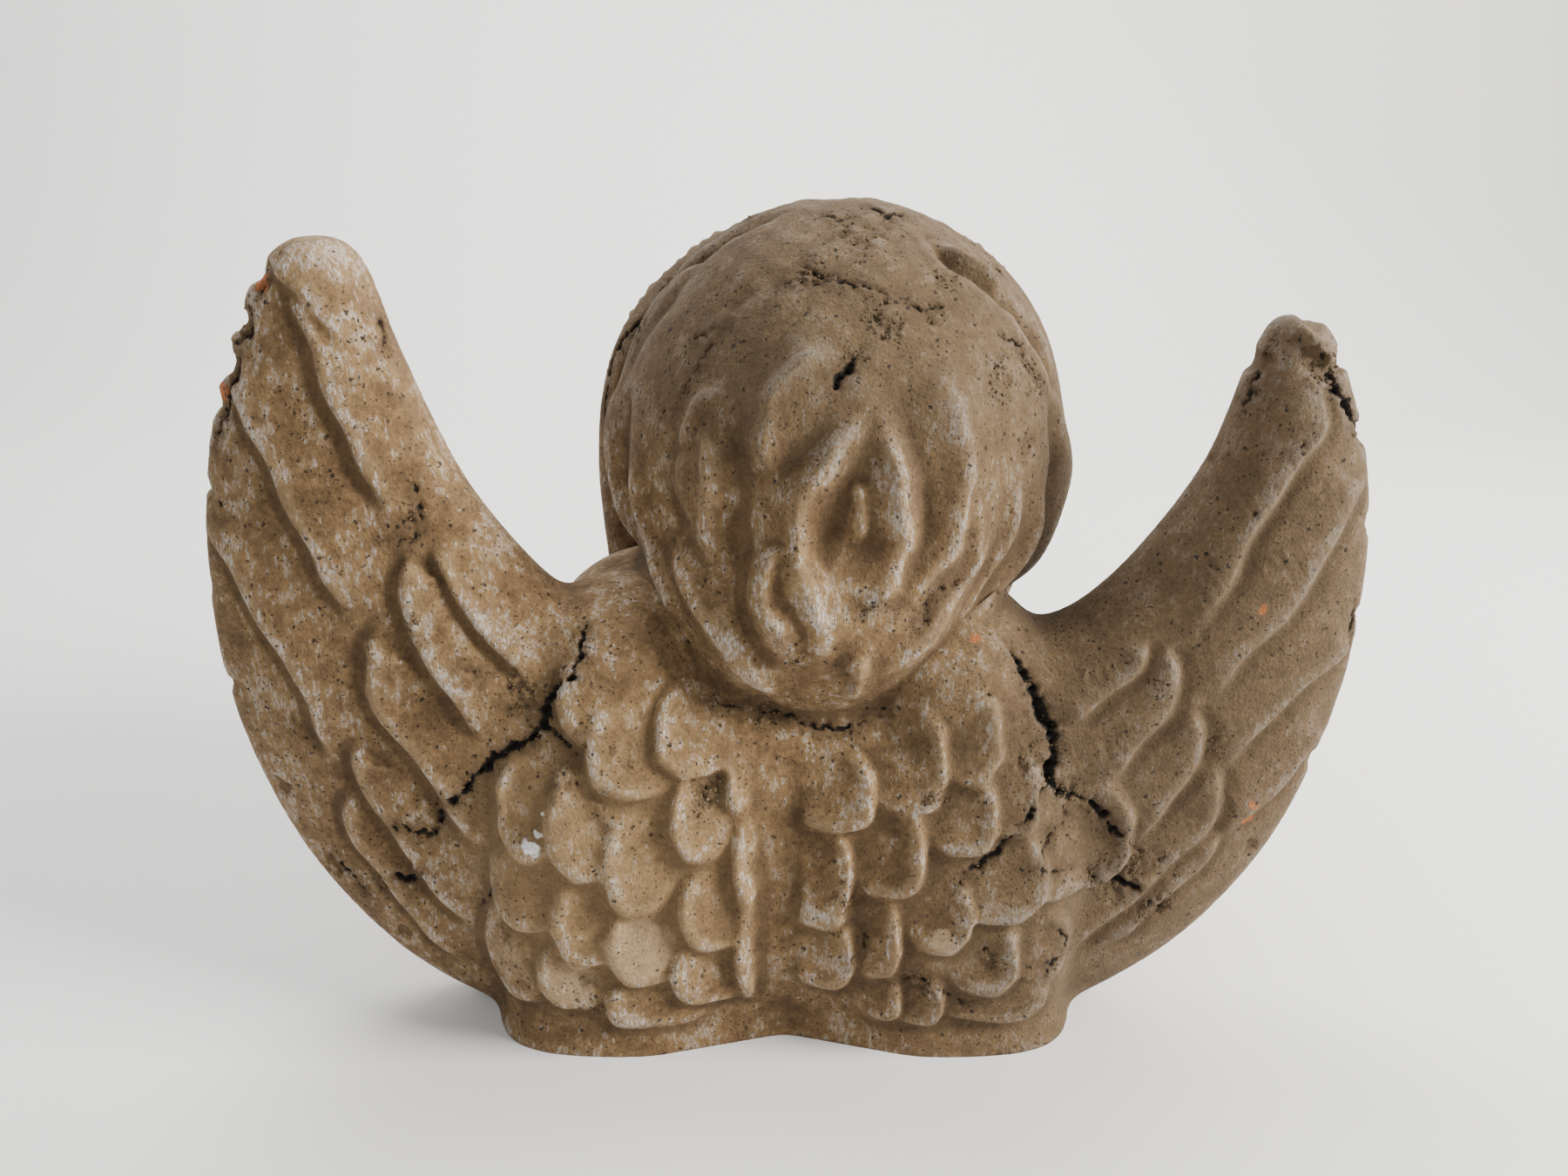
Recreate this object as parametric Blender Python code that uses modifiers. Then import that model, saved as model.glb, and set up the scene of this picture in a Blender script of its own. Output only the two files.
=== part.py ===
"""Cement angel head: a child's head between two raised wings, cast in one piece.

The casting stands on its flat underside. The origin is the middle of the underside and +Z is up.
The face looks along -Y and the feathered back along +Y, so +X is the figure's own left.
All lengths are in metres and all angles in degrees.
"""
import math

import bmesh
import bpy
import numpy as np
from mathutils import Euler, Vector

# Overall sizes
SPAN = 0.340
HEIGHT = 0.256

# Block under the head: its foot, and how high the round shoulders stand
BASE_WIDTH = 0.192
BASE_DEPTH = 0.118
BASE_BACK = 0.060
SHOULDER_HEIGHT = 0.147
# Corners of the block seen from above: 1 is an oval and 0 a box
CORNER_WIDE = 0.30
CORNER_DEEP = 0.36
# Height as a share of the shoulders, then the width, back and front there as shares of the foot's
BLOCK_LEVELS = [
    (-0.05, 1.00, 1.00, 1.00), (0.00, 1.00, 1.00, 1.00), (0.08, 0.97, 0.955, 0.98),
    (0.20, 0.985, 1.00, 1.00), (0.45, 0.985, 1.02, 1.02), (0.62, 0.93, 0.97, 1.00),
    (0.76, 0.86, 0.83, 0.94), (0.88, 0.77, 0.60, 0.80), (0.96, 0.60, 0.36, 0.60),
    (1.00, 0.35, 0.16, 0.35),
]
# Hollow down the spine: where it runs, its half width and depth, and how much more of both at the foot
SPINE_X = 0.002
GROOVE_HALF = 0.012
GROOVE_DEPTH = 0.0045
FOOT_HOLLOW = 0.007
# Height of the foot's hollow as a share of the shoulders
FOOT_REACH = 0.25

# Shoulder blades: how far out, below the shoulders and inside the back their middles and backs lie
BLADE_OUT = 0.050
BLADE_DROP = 0.031
BLADE_INSET = 0.006
BLADE_RADII = (0.032, 0.034, 0.032)

# Head with its hair: its size, its lean, and how far to the side and forward its centre stands
HEAD_WIDTH = 0.147
HEAD_DEPTH = 0.158
HEAD_TALL = 0.152
HEAD_LEAN = -4.0
HEAD_SIDE = -0.0175
HEAD_FORWARD = 0.0270
HEAD_RADII = (HEAD_WIDTH / 2, HEAD_DEPTH / 2, HEAD_TALL / 2)
HEAD_CENTRE = (HEAD_SIDE, -HEAD_FORWARD, HEIGHT - HEAD_TALL / 2)
# Forms of the head as places from its centre and radii, both in shares of the head's own radii
HEAD_FORMS = {
    "nape": ((0.041, 0.278, -0.474), (0.776, 0.785, 0.684)),
    "throat": ((0.080, 0.190, -0.868), (0.680, 0.582, 0.447)),
    "brow": ((0.0, -0.557, 0.105), (0.680, 0.519, 0.553)),
    "jaw": ((0.0, -0.557, -0.395), (0.571, 0.506, 0.434)),
    "left_cheek": ((0.367, -0.734, -0.368), (0.293, 0.297, 0.283)),
    "right_cheek": ((-0.367, -0.734, -0.368), (0.293, 0.297, 0.283)),
}
FACE_FORMS = {
    "chin": ((0.0, -0.937, -0.724), (0.170, 0.139, 0.125)),
    "nose_bridge": ((0.0, -1.057, -0.158), (0.079, 0.101, 0.211)),
    "nose_tip": ((0.0, -1.146, -0.316), (0.098, 0.108, 0.084)),
    "left_nostril": ((0.087, -1.089, -0.336), (0.068, 0.076, 0.058)),
    "right_nostril": ((-0.087, -1.089, -0.336), (0.068, 0.076, 0.058)),
    "upper_lip": ((0.0, -1.051, -0.507), (0.163, 0.073, 0.047)),
    "lower_lip": ((0.0, -1.038, -0.579), (0.129, 0.076, 0.050)),
}

# Roll of hair round the face: its thickness, how far forward it lies, and its line from the left
# shoulder over the brow to the right one, as X and Z in shares of the head's radii
ROLL_THICK = 0.0162
ROLL_FORWARD = 0.0300
ROLL_LINE = [(0.840, -0.842), (0.920, -0.224), (0.840, 0.263), (0.503, 0.612), (0.027, 0.730),
             (-0.490, 0.655), (-0.825, 0.290), (-0.870, -0.224), (-0.735, -0.842)]
# Curls in each of the roll's two rows, and the distance between the turns of a curl
CURLS = 13
CURL_PITCH = 0.0056

# Wings: thickness from the block to the tip, and how far in front of the block's back their middles lie
WING_ROOT_THICK = 0.056
WING_TIP_THICK = 0.021
WING_ROOT_SET = 0.034
WING_TIP_SET = 0.033
# Section of a wing: the bluntness of its edge and its face, and how much its trailing side thins
WING_EDGE = 0.85
WING_FACE = 0.80
WING_THINNING = 0.28

# Carving: how high each kind stands
FEATHER_RELIEF = 0.0042
SCALE_RELIEF = 0.0044
LOCK_RELIEF = 0.0046
CURL_RELIEF = 0.0034
# Width over which a free edge rises, and the bend of a feather as a share of its length
STEP_WIDTH = 0.0024
FEATHER_BEND = 0.10
# Plain strips: half the one down the spine, and the height of the one along the foot
SPINE_HALF_WIDTH = 0.0080
PLAIN_BAND = 0.014
# How far below the shoulders the carving of the hair ends
NECK_DROP = 0.043
# Share of the carving that moves the skin sideways, and share that the plainer front keeps
SIDEWAYS_SHARE = 0.35
FRONT_SHARE = 0.7

# Surface: the grids of the forms, the rounds of easing, and the triangles that the casting keeps
ROUGH_GRID = 0.0026
FINE_GRID = 0.0018
BODY_EASE = 14
HEAD_EASE = 12
CASTING_EASE = 4
TRIANGLES = 9600

# Outlines of the wings as shares of half the span and of the height, from the root to the tip
LEFT_LEADING = [(0.24, 0.57), (0.370, 0.558), (0.532, 0.688), (0.628, 0.843), (0.675, 0.945),
                (0.735, 0.977)]
LEFT_TRAILING = [(0.48, -0.04), (0.655, 0.020), (0.790, 0.100), (0.920, 0.235), (1.000, 0.410),
                 (1.010, 0.580), (0.972, 0.740), (0.885, 0.890), (0.805, 0.962), (0.735, 0.977)]
RIGHT_LEADING = [(0.24, 0.54), (0.430, 0.526), (0.562, 0.572), (0.710, 0.710), (0.770, 0.840),
                 (0.815, 0.903)]
RIGHT_TRAILING = [(0.48, -0.04), (0.655, 0.025), (0.805, 0.112), (0.935, 0.250), (1.008, 0.430),
                  (1.018, 0.590), (0.990, 0.720), (0.930, 0.825), (0.875, 0.885), (0.815, 0.903)]

# Rows of feathers: half the width of one, how many lie in a row, and the lines of their tips and roots
LONG_HALF = 0.0118
SHORT_HALF = 0.0090
LEFT_ROWS = [
    dict(half=LONG_HALF, count=6,
         tips=[(0.750, 0.125), (0.894, 0.254), (0.978, 0.450), (0.978, 0.656), (0.894, 0.832),
               (0.770, 0.955)],
         roots=[(0.500, 0.040), (0.650, 0.140), (0.735, 0.260), (0.730, 0.390), (0.665, 0.547),
                (0.560, 0.645)]),
    dict(half=SHORT_HALF, count=5,
         tips=[(0.724, 0.190), (0.780, 0.305), (0.770, 0.418), (0.712, 0.531), (0.633, 0.632)],
         roots=[(0.560, 0.080), (0.600, 0.133), (0.624, 0.242), (0.570, 0.344), (0.480, 0.430)]),
]
RIGHT_ROWS = [
    dict(half=LONG_HALF, count=6,
         tips=[(0.706, 0.125), (0.841, 0.234), (0.941, 0.390), (0.985, 0.578), (0.941, 0.762),
               (0.832, 0.890)],
         roots=[(0.500, 0.047), (0.618, 0.137), (0.694, 0.234), (0.694, 0.332), (0.647, 0.410),
                (0.560, 0.508)]),
    dict(half=SHORT_HALF, count=5,
         tips=[(0.706, 0.176), (0.782, 0.258), (0.794, 0.348), (0.747, 0.438), (0.672, 0.523)],
         roots=[(0.547, 0.070), (0.606, 0.141), (0.624, 0.219), (0.582, 0.289), (0.506, 0.360)]),
]

# Scales: for each column, its distance from the spine as a share of half the foot's width, and the
# heights of its scales as shares of the shoulders' height
SCALE_HALF_WIDTH = 0.0100
SCALE_HALF_HEIGHT = 0.0145
LEFT_SCALES = {
    0.840: (0.592, 0.408, 0.252), 0.649: (0.762, 0.578, 0.354, 0.204),
    0.457: (0.878, 0.714, 0.469, 0.286, 0.156), 0.261: (0.741, 0.592, 0.361, 0.211),
    0.080: (0.639, 0.483, 0.259),
}
RIGHT_SCALES = {
    0.904: (0.517, 0.293), 0.713: (0.626, 0.442, 0.245, 0.143), 0.543: (0.748, 0.599, 0.367, 0.150),
    0.346: (0.707, 0.503, 0.313, 0.136), 0.144: (0.626, 0.463, 0.272),
}

# Locks on the back of the head: longitude and latitude of each end, then its bow and its half width.
# Longitude 0 looks straight back and grows to the figure's left; the bow is in degrees to that side.
LOCKS = [
    (-5, 26, 8, -36, 10, 0.0070), (13, -10, 3, -39, -3, 0.0050), (-7, 13, 0, -28, -7, 0.0060),
    (-15, 28, -3, -30, -11, 0.0075), (-27, 4, -13, -32, -9, 0.0060), (-1, 6, 2, -23, -2, 0.0042),
    (-5, 26, 18, 2, 13, 0.0065), (34, 14, 27, -24, 3, 0.0060), (38, -17, 14, -44, 1, 0.0060),
    (27, -22, 8, -43, 2, 0.0055), (-39, 0, -27, -34, -5, 0.0055), (-50, 8, -44, -26, -4, 0.0055),
    (-7, -31, -5, -45, -1, 0.0050), (48, 8, 50, -22, 2, 0.0055), (-64, 12, -62, -20, 0, 0.0060),
    (64, 14, 66, -20, 0, 0.0055),
]
# Creases where the hair of the crown lies over the roll, as longitudes and latitudes along each
CREASES = [[(100, 4), (100, 34), (78, 55), (40, 70)], [(-36, 68), (-40, 54), (-60, 40), (-72, 14)]]
CREASE_DEPTH = 0.0030
CREASE_HALF = 0.0060

# Face: places and sizes of the eyes and of the line between the lips, in shares of the head's radii
EYE_OUT = 0.2585
EYE_DROP = 0.079
EYE_WIDE = 0.150
EYE_TALL = 0.103
SOCKET_WIDE = 0.204
SOCKET_TALL = 0.125
LASH_DROP = 0.040
CREASE_RISE = 0.082
BROW_RISE = 0.178
MOUTH_DROP = 0.542
MOUTH_HALF = 0.163


def smooth(low, high, value):
    """Ease from 0 at low to 1 at high."""
    share = np.clip((value - low) / (high - low), 0.0, 1.0)
    return share * share * (3.0 - 2.0 * share)


def curve(points, count):
    """Points along a smooth curve through the given points, evenly spaced along it."""
    nodes = np.array(points, dtype=float)
    ends = np.vstack([2 * nodes[0] - nodes[1], nodes, 2 * nodes[-1] - nodes[-2]])
    fine = []
    for index in range(len(nodes) - 1):
        a, b, c, d = ends[index:index + 4]
        for step in np.linspace(0.0, 1.0, 16, endpoint=False):
            fine.append(0.5 * (2 * b + (c - a) * step + (2 * a - 5 * b + 4 * c - d) * step ** 2
                               + (3 * b - a - 3 * c + d) * step ** 3))
    fine.append(nodes[-1])
    fine = np.array(fine)
    run = np.concatenate([[0.0], np.cumsum(np.linalg.norm(np.diff(fine, axis=0), axis=1))])
    at = np.linspace(0.0, run[-1], count)
    return np.column_stack([np.interp(at, run, fine[:, axis]) for axis in range(fine.shape[1])])


def blunt(value, power):
    """A sine or cosine made squarer by a power below 1, with its sign kept."""
    return math.copysign(abs(value) ** power, value)


def wing_line(points, side, count):
    """A wing outline in metres, as X and Z, on the side given by +1 or -1."""
    return curve([(side * out * SPAN / 2, up * HEIGHT) for out, up in points], count)


def new_object(name, mesh, collection):
    """An object in the given collection."""
    thing = bpy.data.objects.new(name, mesh)
    collection.objects.link(thing)
    return thing


def loft(name, rings, collection):
    """A closed skin over rings of equal point counts, with a flat cap at both ends."""
    net = bmesh.new()
    rows = [[net.verts.new(point) for point in ring] for ring in rings]
    for low, high in zip(rows, rows[1:]):
        for index in range(len(low)):
            after = (index + 1) % len(low)
            net.faces.new((low[index], low[after], high[after], high[index]))
    net.faces.new(list(reversed(rows[0])))
    net.faces.new(rows[-1])
    bmesh.ops.recalc_face_normals(net, faces=net.faces)
    mesh = bpy.data.meshes.new(name)
    net.to_mesh(mesh)
    net.free()
    return new_object(name, mesh, collection)


def ball(name, centre, radii, collection, lean=0.0):
    """An egg with the given centre and radii, leaning to the side by an angle."""
    net = bmesh.new()
    bmesh.ops.create_uvsphere(net, u_segments=40, v_segments=24, radius=1.0)
    mesh = bpy.data.meshes.new(name)
    net.to_mesh(mesh)
    net.free()
    thing = new_object(name, mesh, collection)
    thing.location = centre
    thing.rotation_euler = (0.0, math.radians(lean), 0.0)
    thing.scale = radii
    return thing


def build_block(collection):
    """The block under the head: a foot with a hollow at the spine, and round shoulders."""
    ring_points = 80
    rings = []
    for height, wide, back, front in curve(BLOCK_LEVELS, 30):
        foot = 1.0 - min(max(height / FOOT_REACH, 0.0), 1.0)
        groove = GROOVE_DEPTH + FOOT_HOLLOW * foot
        groove_half = GROOVE_HALF * (1.0 + foot)
        ring = []
        for step in range(ring_points):
            angle = math.tau * step / ring_points
            x = BASE_WIDTH / 2 * wide * blunt(math.cos(angle), CORNER_WIDE)
            reach = BASE_BACK * back if math.sin(angle) > 0 else (BASE_DEPTH - BASE_BACK) * front
            y = reach * blunt(math.sin(angle), CORNER_DEEP)
            if y > 0:
                y -= groove * math.exp(-((x - SPINE_X) / groove_half) ** 2)
            ring.append((x, y, SHOULDER_HEIGHT * height))
        rings.append(ring)
    return loft("block", rings, collection)


def build_blades(collection):
    """The shoulder blades: round swellings on the back of the block."""
    y = BASE_BACK - BLADE_RADII[1] - BLADE_INSET
    z = SHOULDER_HEIGHT - BLADE_DROP
    return [ball("blade", (side * BLADE_OUT, y, z), BLADE_RADII, collection) for side in (-1, 1)]


def build_wing(name, side, leading, trailing, collection):
    """A wing: thick and round along its leading edge, thinner where the feathers end."""
    ring_count = 30
    ring_points = 40
    lead = wing_line(leading, side, ring_count)
    trail = wing_line(trailing, side, ring_count)
    rings = []
    for index in range(ring_count - 1):
        share = index / (ring_count - 1)
        middle = (lead[index] + trail[index]) / 2
        chord = (trail[index] - lead[index]) / 2
        thick = WING_ROOT_THICK + (WING_TIP_THICK - WING_ROOT_THICK) * share ** 0.7
        thick = min(thick, 2.2 * float(np.linalg.norm(chord)))
        back = BASE_BACK - WING_ROOT_SET + (WING_ROOT_SET - WING_TIP_SET) * share
        ring = []
        for step in range(ring_points):
            angle = math.tau * step / ring_points
            across = blunt(math.cos(angle), WING_EDGE)
            deep = blunt(math.sin(angle), WING_FACE) * (1.0 - WING_THINNING * (across + 0.2))
            x, z = middle + chord * across
            ring.append((x, back + deep * thick / 2, z))
        rings.append(ring)
    return loft(name, rings, collection)


def head_frame():
    """The head's own axes in the world, turned by its lean."""
    return Euler((0.0, math.radians(HEAD_LEAN), 0.0)).to_matrix()


def head_point(place):
    """A place given from the head's centre, in the world."""
    return Vector(HEAD_CENTRE) + head_frame() @ Vector(place)


def head_balls(forms, collection):
    """One egg for each of the head's forms."""
    eggs = []
    for name, (shares, radii) in forms.items():
        centre = head_point([share * radius for share, radius in zip(shares, HEAD_RADII)])
        size = [share * radius for share, radius in zip(radii, HEAD_RADII)]
        eggs.append(ball(name, centre, size, collection, HEAD_LEAN))
    return eggs


def roll_line(count):
    """The middle of the roll of hair, from one shoulder over the brow to the other, in the head's axes."""
    line = curve([(x * HEAD_RADII[0], z * HEAD_RADII[2]) for x, z in ROLL_LINE], count)
    return np.column_stack([line[:, 0], np.full(count, -ROLL_FORWARD), line[:, 1]])


def tube(name, line, radius, collection):
    """A round closed bar along a line of points."""
    shape = bpy.data.curves.new(name, 'CURVE')
    shape.dimensions = '3D'
    shape.bevel_depth = radius
    shape.bevel_resolution = 6
    shape.use_fill_caps = True
    spline = shape.splines.new('POLY')
    spline.points.add(len(line) - 1)
    for point, place in zip(spline.points, line):
        point.co = (*place, 1.0)
    bent = new_object(name, shape, collection)
    mesh = bpy.data.meshes.new_from_object(bent.evaluated_get(bpy.context.evaluated_depsgraph_get()))
    bpy.data.objects.remove(bent)
    net = bmesh.new()
    net.from_mesh(mesh)
    bmesh.ops.remove_doubles(net, verts=net.verts, dist=0.00001)
    net.to_mesh(mesh)
    net.free()
    return new_object(name, mesh, collection)


def build_head(collection):
    """Skull with hair, the forms under it, and the roll of hair that frames the face."""
    skull = ball("skull", HEAD_CENTRE, HEAD_RADII, collection, HEAD_LEAN)
    roll = tube("roll", [head_point(place) for place in roll_line(40)], ROLL_THICK, collection)
    return [skull, roll] + head_balls(HEAD_FORMS, collection)


def join(name, things, collection):
    """One object from many, with their places kept in its mesh."""
    bpy.context.view_layer.update()
    net = bmesh.new()
    for thing in things:
        mesh = thing.data.copy()
        mesh.transform(thing.matrix_world)
        net.from_mesh(mesh)
        bpy.data.meshes.remove(mesh)
        bpy.data.objects.remove(thing)
    mesh = bpy.data.meshes.new(name)
    net.to_mesh(mesh)
    net.free()
    return new_object(name, mesh, collection)


def bake(thing):
    """Make the object's modifiers part of its mesh."""
    seen = thing.evaluated_get(bpy.context.evaluated_depsgraph_get())
    mesh = bpy.data.meshes.new_from_object(seen)
    thing.modifiers.clear()
    thing.data = mesh


def soften(thing, grid, rounds):
    """Fuse everything in the object to one skin on a fine grid, then ease its creases."""
    remesh = thing.modifiers.new("fuse", 'REMESH')
    remesh.mode = 'VOXEL'
    remesh.voxel_size = grid
    ease = thing.modifiers.new("ease", 'SMOOTH')
    ease.factor = 0.5
    ease.iterations = rounds
    bake(thing)


def line_distance(points, path):
    """For each point, its distance to a path, its share along it and the side that it lies on."""
    best = np.full(len(points), np.inf)
    share = np.zeros(len(points))
    offset = np.zeros(len(points))
    last = len(path) - 1
    for index in range(last):
        start = path[index]
        step = path[index + 1] - start
        length = float(np.linalg.norm(step))
        away = points - start
        along = np.clip(away @ step / length ** 2, 0.0, 1.0)
        gap = away - along[:, None] * step
        far = np.linalg.norm(gap, axis=1)
        near = far < best
        best = np.where(near, far, best)
        share = np.where(near, (index + along) / last, share)
        if points.shape[1] == 2:
            turn = step[0] * away[:, 1] - step[1] * away[:, 0]
            offset = np.where(near, turn / length, offset)
    return best, share, offset


def lay_feathers(height, plane, rows, side, relief):
    """Lay rows of long feathers over one another, each edge facing away from the leading edge."""
    for row in rows:
        tips = wing_line(row["tips"], side, row["count"])
        roots = wing_line(row["roots"], side, row["count"])
        for tip, root in zip(tips, roots):
            span = tip - root
            bend = np.array([span[1], -span[0]]) * FEATHER_BEND * side
            path = curve([root, (root + tip) / 2 + bend, tip], 14)
            distance, along, offset = line_distance(plane, path)
            outward = -side * offset
            # A feather widens over its first half and rounds off over its last third
            half = row["half"] * (0.60 + 0.40 * smooth(0.0, 0.5, along))
            half = half * np.sqrt(np.clip(1.0 - np.clip((along - 0.70) / 0.32, 0.0, 1.0) ** 2, 0.04, 1.0))
            beyond = np.sqrt(np.clip(distance ** 2 - offset ** 2, 0.0, None))
            room = half - np.hypot(np.maximum(outward, 0.0), beyond)
            inside = smooth(0.0, STEP_WIDTH, room)
            # Its inner side and its root sink under the next one
            fade = 1.0 - smooth(0.2, 1.0, -outward / (1.6 * half))
            fade = fade * smooth(0.0, 0.25, along)
            rise = relief * (0.20 + 0.80 * smooth(-1.3, 0.7, outward / half))
            weight = inside * fade
            height = height * (1.0 - weight) + rise * weight
    return height


def lay_scales(height, plane, columns, side, relief):
    """Lay columns of scales, the outer ones first: each column ends in a wavy, raised outer edge."""
    out = side * plane[:, 0]
    up = plane[:, 1]
    # A scale's round edge stands out beyond its column, and the column's own edge lies behind it
    lobe_reach = 1.35
    column_reach = -0.35
    for distance, levels in columns.items():
        reach = np.full(len(plane), column_reach)
        heights = [level * SHOULDER_HEIGHT for level in levels]
        for level in heights:
            rise = (up - level) / SCALE_HALF_HEIGHT
            lobe = np.sqrt(np.clip(1.0 - rise ** 2, 0.0, 1.0))
            reach = np.maximum(reach, lobe * lobe_reach + column_reach)
        room = distance * BASE_WIDTH / 2 + reach * SCALE_HALF_WIDTH - out
        inside = smooth(0.0, STEP_WIDTH, room)
        inward = np.clip(room / (2.2 * SCALE_HALF_WIDTH), 0.0, 1.0)
        low = (up - min(heights)) / SCALE_HALF_HEIGHT
        high = (up - max(heights)) / SCALE_HALF_HEIGHT
        ends = smooth(-1.05, -0.75, low) * smooth(1.05, 0.60, high)
        weight = inside * ends * (1.0 - smooth(0.65, 1.0, inward))
        weight = weight * smooth(SPINE_HALF_WIDTH, SPINE_HALF_WIDTH + STEP_WIDTH, out)
        crest = 0.62 + 0.38 * smooth(column_reach, 0.75, reach)
        height = height * (1.0 - weight) + relief * crest * (1.0 - 0.75 * inward) * weight
    return height


def sphere_point(longitude, latitude):
    """A unit vector in the head's own axes, from longitude and latitude."""
    east = math.radians(longitude)
    north = math.radians(latitude)
    return np.array([math.sin(east) * math.cos(north), math.cos(east) * math.cos(north), math.sin(north)])


def comb_locks(unit):
    """Height of the wavy locks on the back of the head, and of the creases round its crown."""
    height = np.zeros(len(unit))
    radius = sum(HEAD_RADII) / 3
    for east, north, east_end, north_end, bow, half in LOCKS:
        run = east_end - east
        fall = north_end - north
        length = math.hypot(run, fall)
        path = []
        for share in np.linspace(0.0, 1.0, 13):
            lean = bow * math.sin(math.pi * share) / length
            path.append(sphere_point(east + run * share - fall * lean, north + fall * share + run * lean))
        distance, along, _ = line_distance(unit, np.array(path))
        taper = smooth(-0.02, 0.18, along) * (1.0 - smooth(0.78, 1.02, along))
        wide = half * (0.6 + 0.4 * np.sin(math.pi * np.clip(along, 0.0, 1.0)))
        bump = np.clip(1.0 - distance * radius / (1.7 * wide), 0.0, 1.0)
        height = np.maximum(height, LOCK_RELIEF * bump ** 1.5 * taper)
    for places in CREASES:
        path = curve([sphere_point(*place) for place in places], 20)
        distance, along, _ = line_distance(unit, path)
        depth = CREASE_DEPTH * smooth(0.0, 0.15, along) * (1.0 - smooth(0.85, 1.0, along))
        height = height - depth * np.exp(-(distance * radius / CREASE_HALF) ** 2)
    return height


def curl_places():
    """Middles of the curls, in two rows along the roll of hair, and the way that each one faces."""
    line = roll_line(2 * CURLS - 1)
    places = []
    ways = []
    # The inner row frames the face and looks forward; the outer one looks away from the head
    for row, outward, forward in ((line[::2], -0.45, -1.0), (line[1::2], 0.80, -0.35)):
        out = row * (1.0, 0.0, 1.0)
        out = out / np.linalg.norm(out, axis=1)[:, None]
        way = out * outward + np.array((0.0, forward, 0.0))
        way = way / np.linalg.norm(way, axis=1)[:, None]
        places.append(row + way * ROLL_THICK * 0.85)
        ways.append(way)
    return np.vstack(places), np.vstack(ways)


def curl_relief(local):
    """Height of the curls on the roll of hair: round, parted by grooves, each wound to its middle."""
    centres, ways = curl_places()
    away = local[:, None, :] - centres[None, :, :]
    far = np.linalg.norm(away, axis=2)
    order = np.argsort(far, axis=1)[:, :2]
    rows = np.arange(len(local))
    nearest = order[:, 0]
    first = far[rows, nearest]
    second = far[rows, order[:, 1]]
    mine = away[rows, nearest]
    way = ways[nearest]
    across = np.cross(way, (0.0, 0.0, 1.0))
    across = across / np.linalg.norm(across, axis=1)[:, None]
    upward = np.cross(across, way)
    turn = np.where(nearest % 2 == 0, 1.0, -1.0)
    angle = np.arctan2((mine * upward).sum(axis=1), (mine * across).sum(axis=1) * turn)
    wind = 0.5 + 0.5 * np.cos(angle - math.tau * first / CURL_PITCH + 2.4 * nearest)
    edge = smooth(0.0, 0.9 * CURL_PITCH, second - first)
    dome = np.clip(1.0 - (first / (0.83 * ROLL_THICK)) ** 2, 0.0, 1.0)
    middle = smooth(0.1 * CURL_PITCH, 0.55 * CURL_PITCH, first)
    return CURL_RELIEF * (0.45 * edge + 0.35 * dome + 0.40 * wind * edge * middle)


def face_relief(local):
    """Height of the lowered lids, the sockets round them and the line between the lips."""
    shares = local / np.array(HEAD_RADII)
    height = np.zeros(len(local))
    for side in (-1, 1):
        x = shares[:, 0] - side * EYE_OUT
        z = shares[:, 2] + EYE_DROP
        bow = (x / EYE_WIDE) ** 2
        socket = np.exp(-(x / SOCKET_WIDE) ** 2 - (z / SOCKET_TALL) ** 2)
        ball_of_eye = np.sqrt(np.clip(1.0 - bow - (z / EYE_TALL) ** 2, 0.0, 1.0))
        lash = z + LASH_DROP - 0.032 * bow
        crease = z - CREASE_RISE + 0.045 * bow
        brow = z - BROW_RISE + 0.031 * bow
        near = (np.abs(x) < 1.13 * EYE_WIDE) & (np.abs(z) < 1.53 * EYE_TALL)
        height += -0.057 * socket + 0.071 * ball_of_eye
        height -= 0.022 * np.exp(-(lash / 0.0145) ** 2) * near
        height -= 0.011 * np.exp(-(crease / 0.0158) ** 2) * near
        height += 0.019 * np.exp(-(brow / 0.0395) ** 2 - (x / SOCKET_WIDE) ** 4)
    lips = shares[:, 2] + MOUTH_DROP - 0.021 * np.abs(shares[:, 0] / MOUTH_HALF) ** 1.5
    height -= 0.027 * np.exp(-(lips / 0.0132) ** 2 - (shares[:, 0] / MOUTH_HALF) ** 6)
    return height * HEAD_RADII[0]


def body_relief(place, facing):
    """Height of the feathers and scales, full on the back and lower on the front."""
    plane = place[:, (0, 2)]
    height = np.zeros(len(place))
    for side, rows, columns in ((1, LEFT_ROWS, LEFT_SCALES), (-1, RIGHT_ROWS, RIGHT_SCALES)):
        mine = side * (place[:, 0] - SPINE_X) > 0
        layer = lay_feathers(np.zeros(len(place)), plane, rows, side, FEATHER_RELIEF)
        layer = lay_scales(layer, plane, columns, side, SCALE_RELIEF)
        height = np.where(mine, layer, height)
    back = smooth(0.05, 0.45, facing[:, 1])
    front = FRONT_SHARE * smooth(0.05, 0.45, -facing[:, 1])
    return height * (back + front) * smooth(0.7 * PLAIN_BAND, 1.3 * PLAIN_BAND, place[:, 2])


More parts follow.
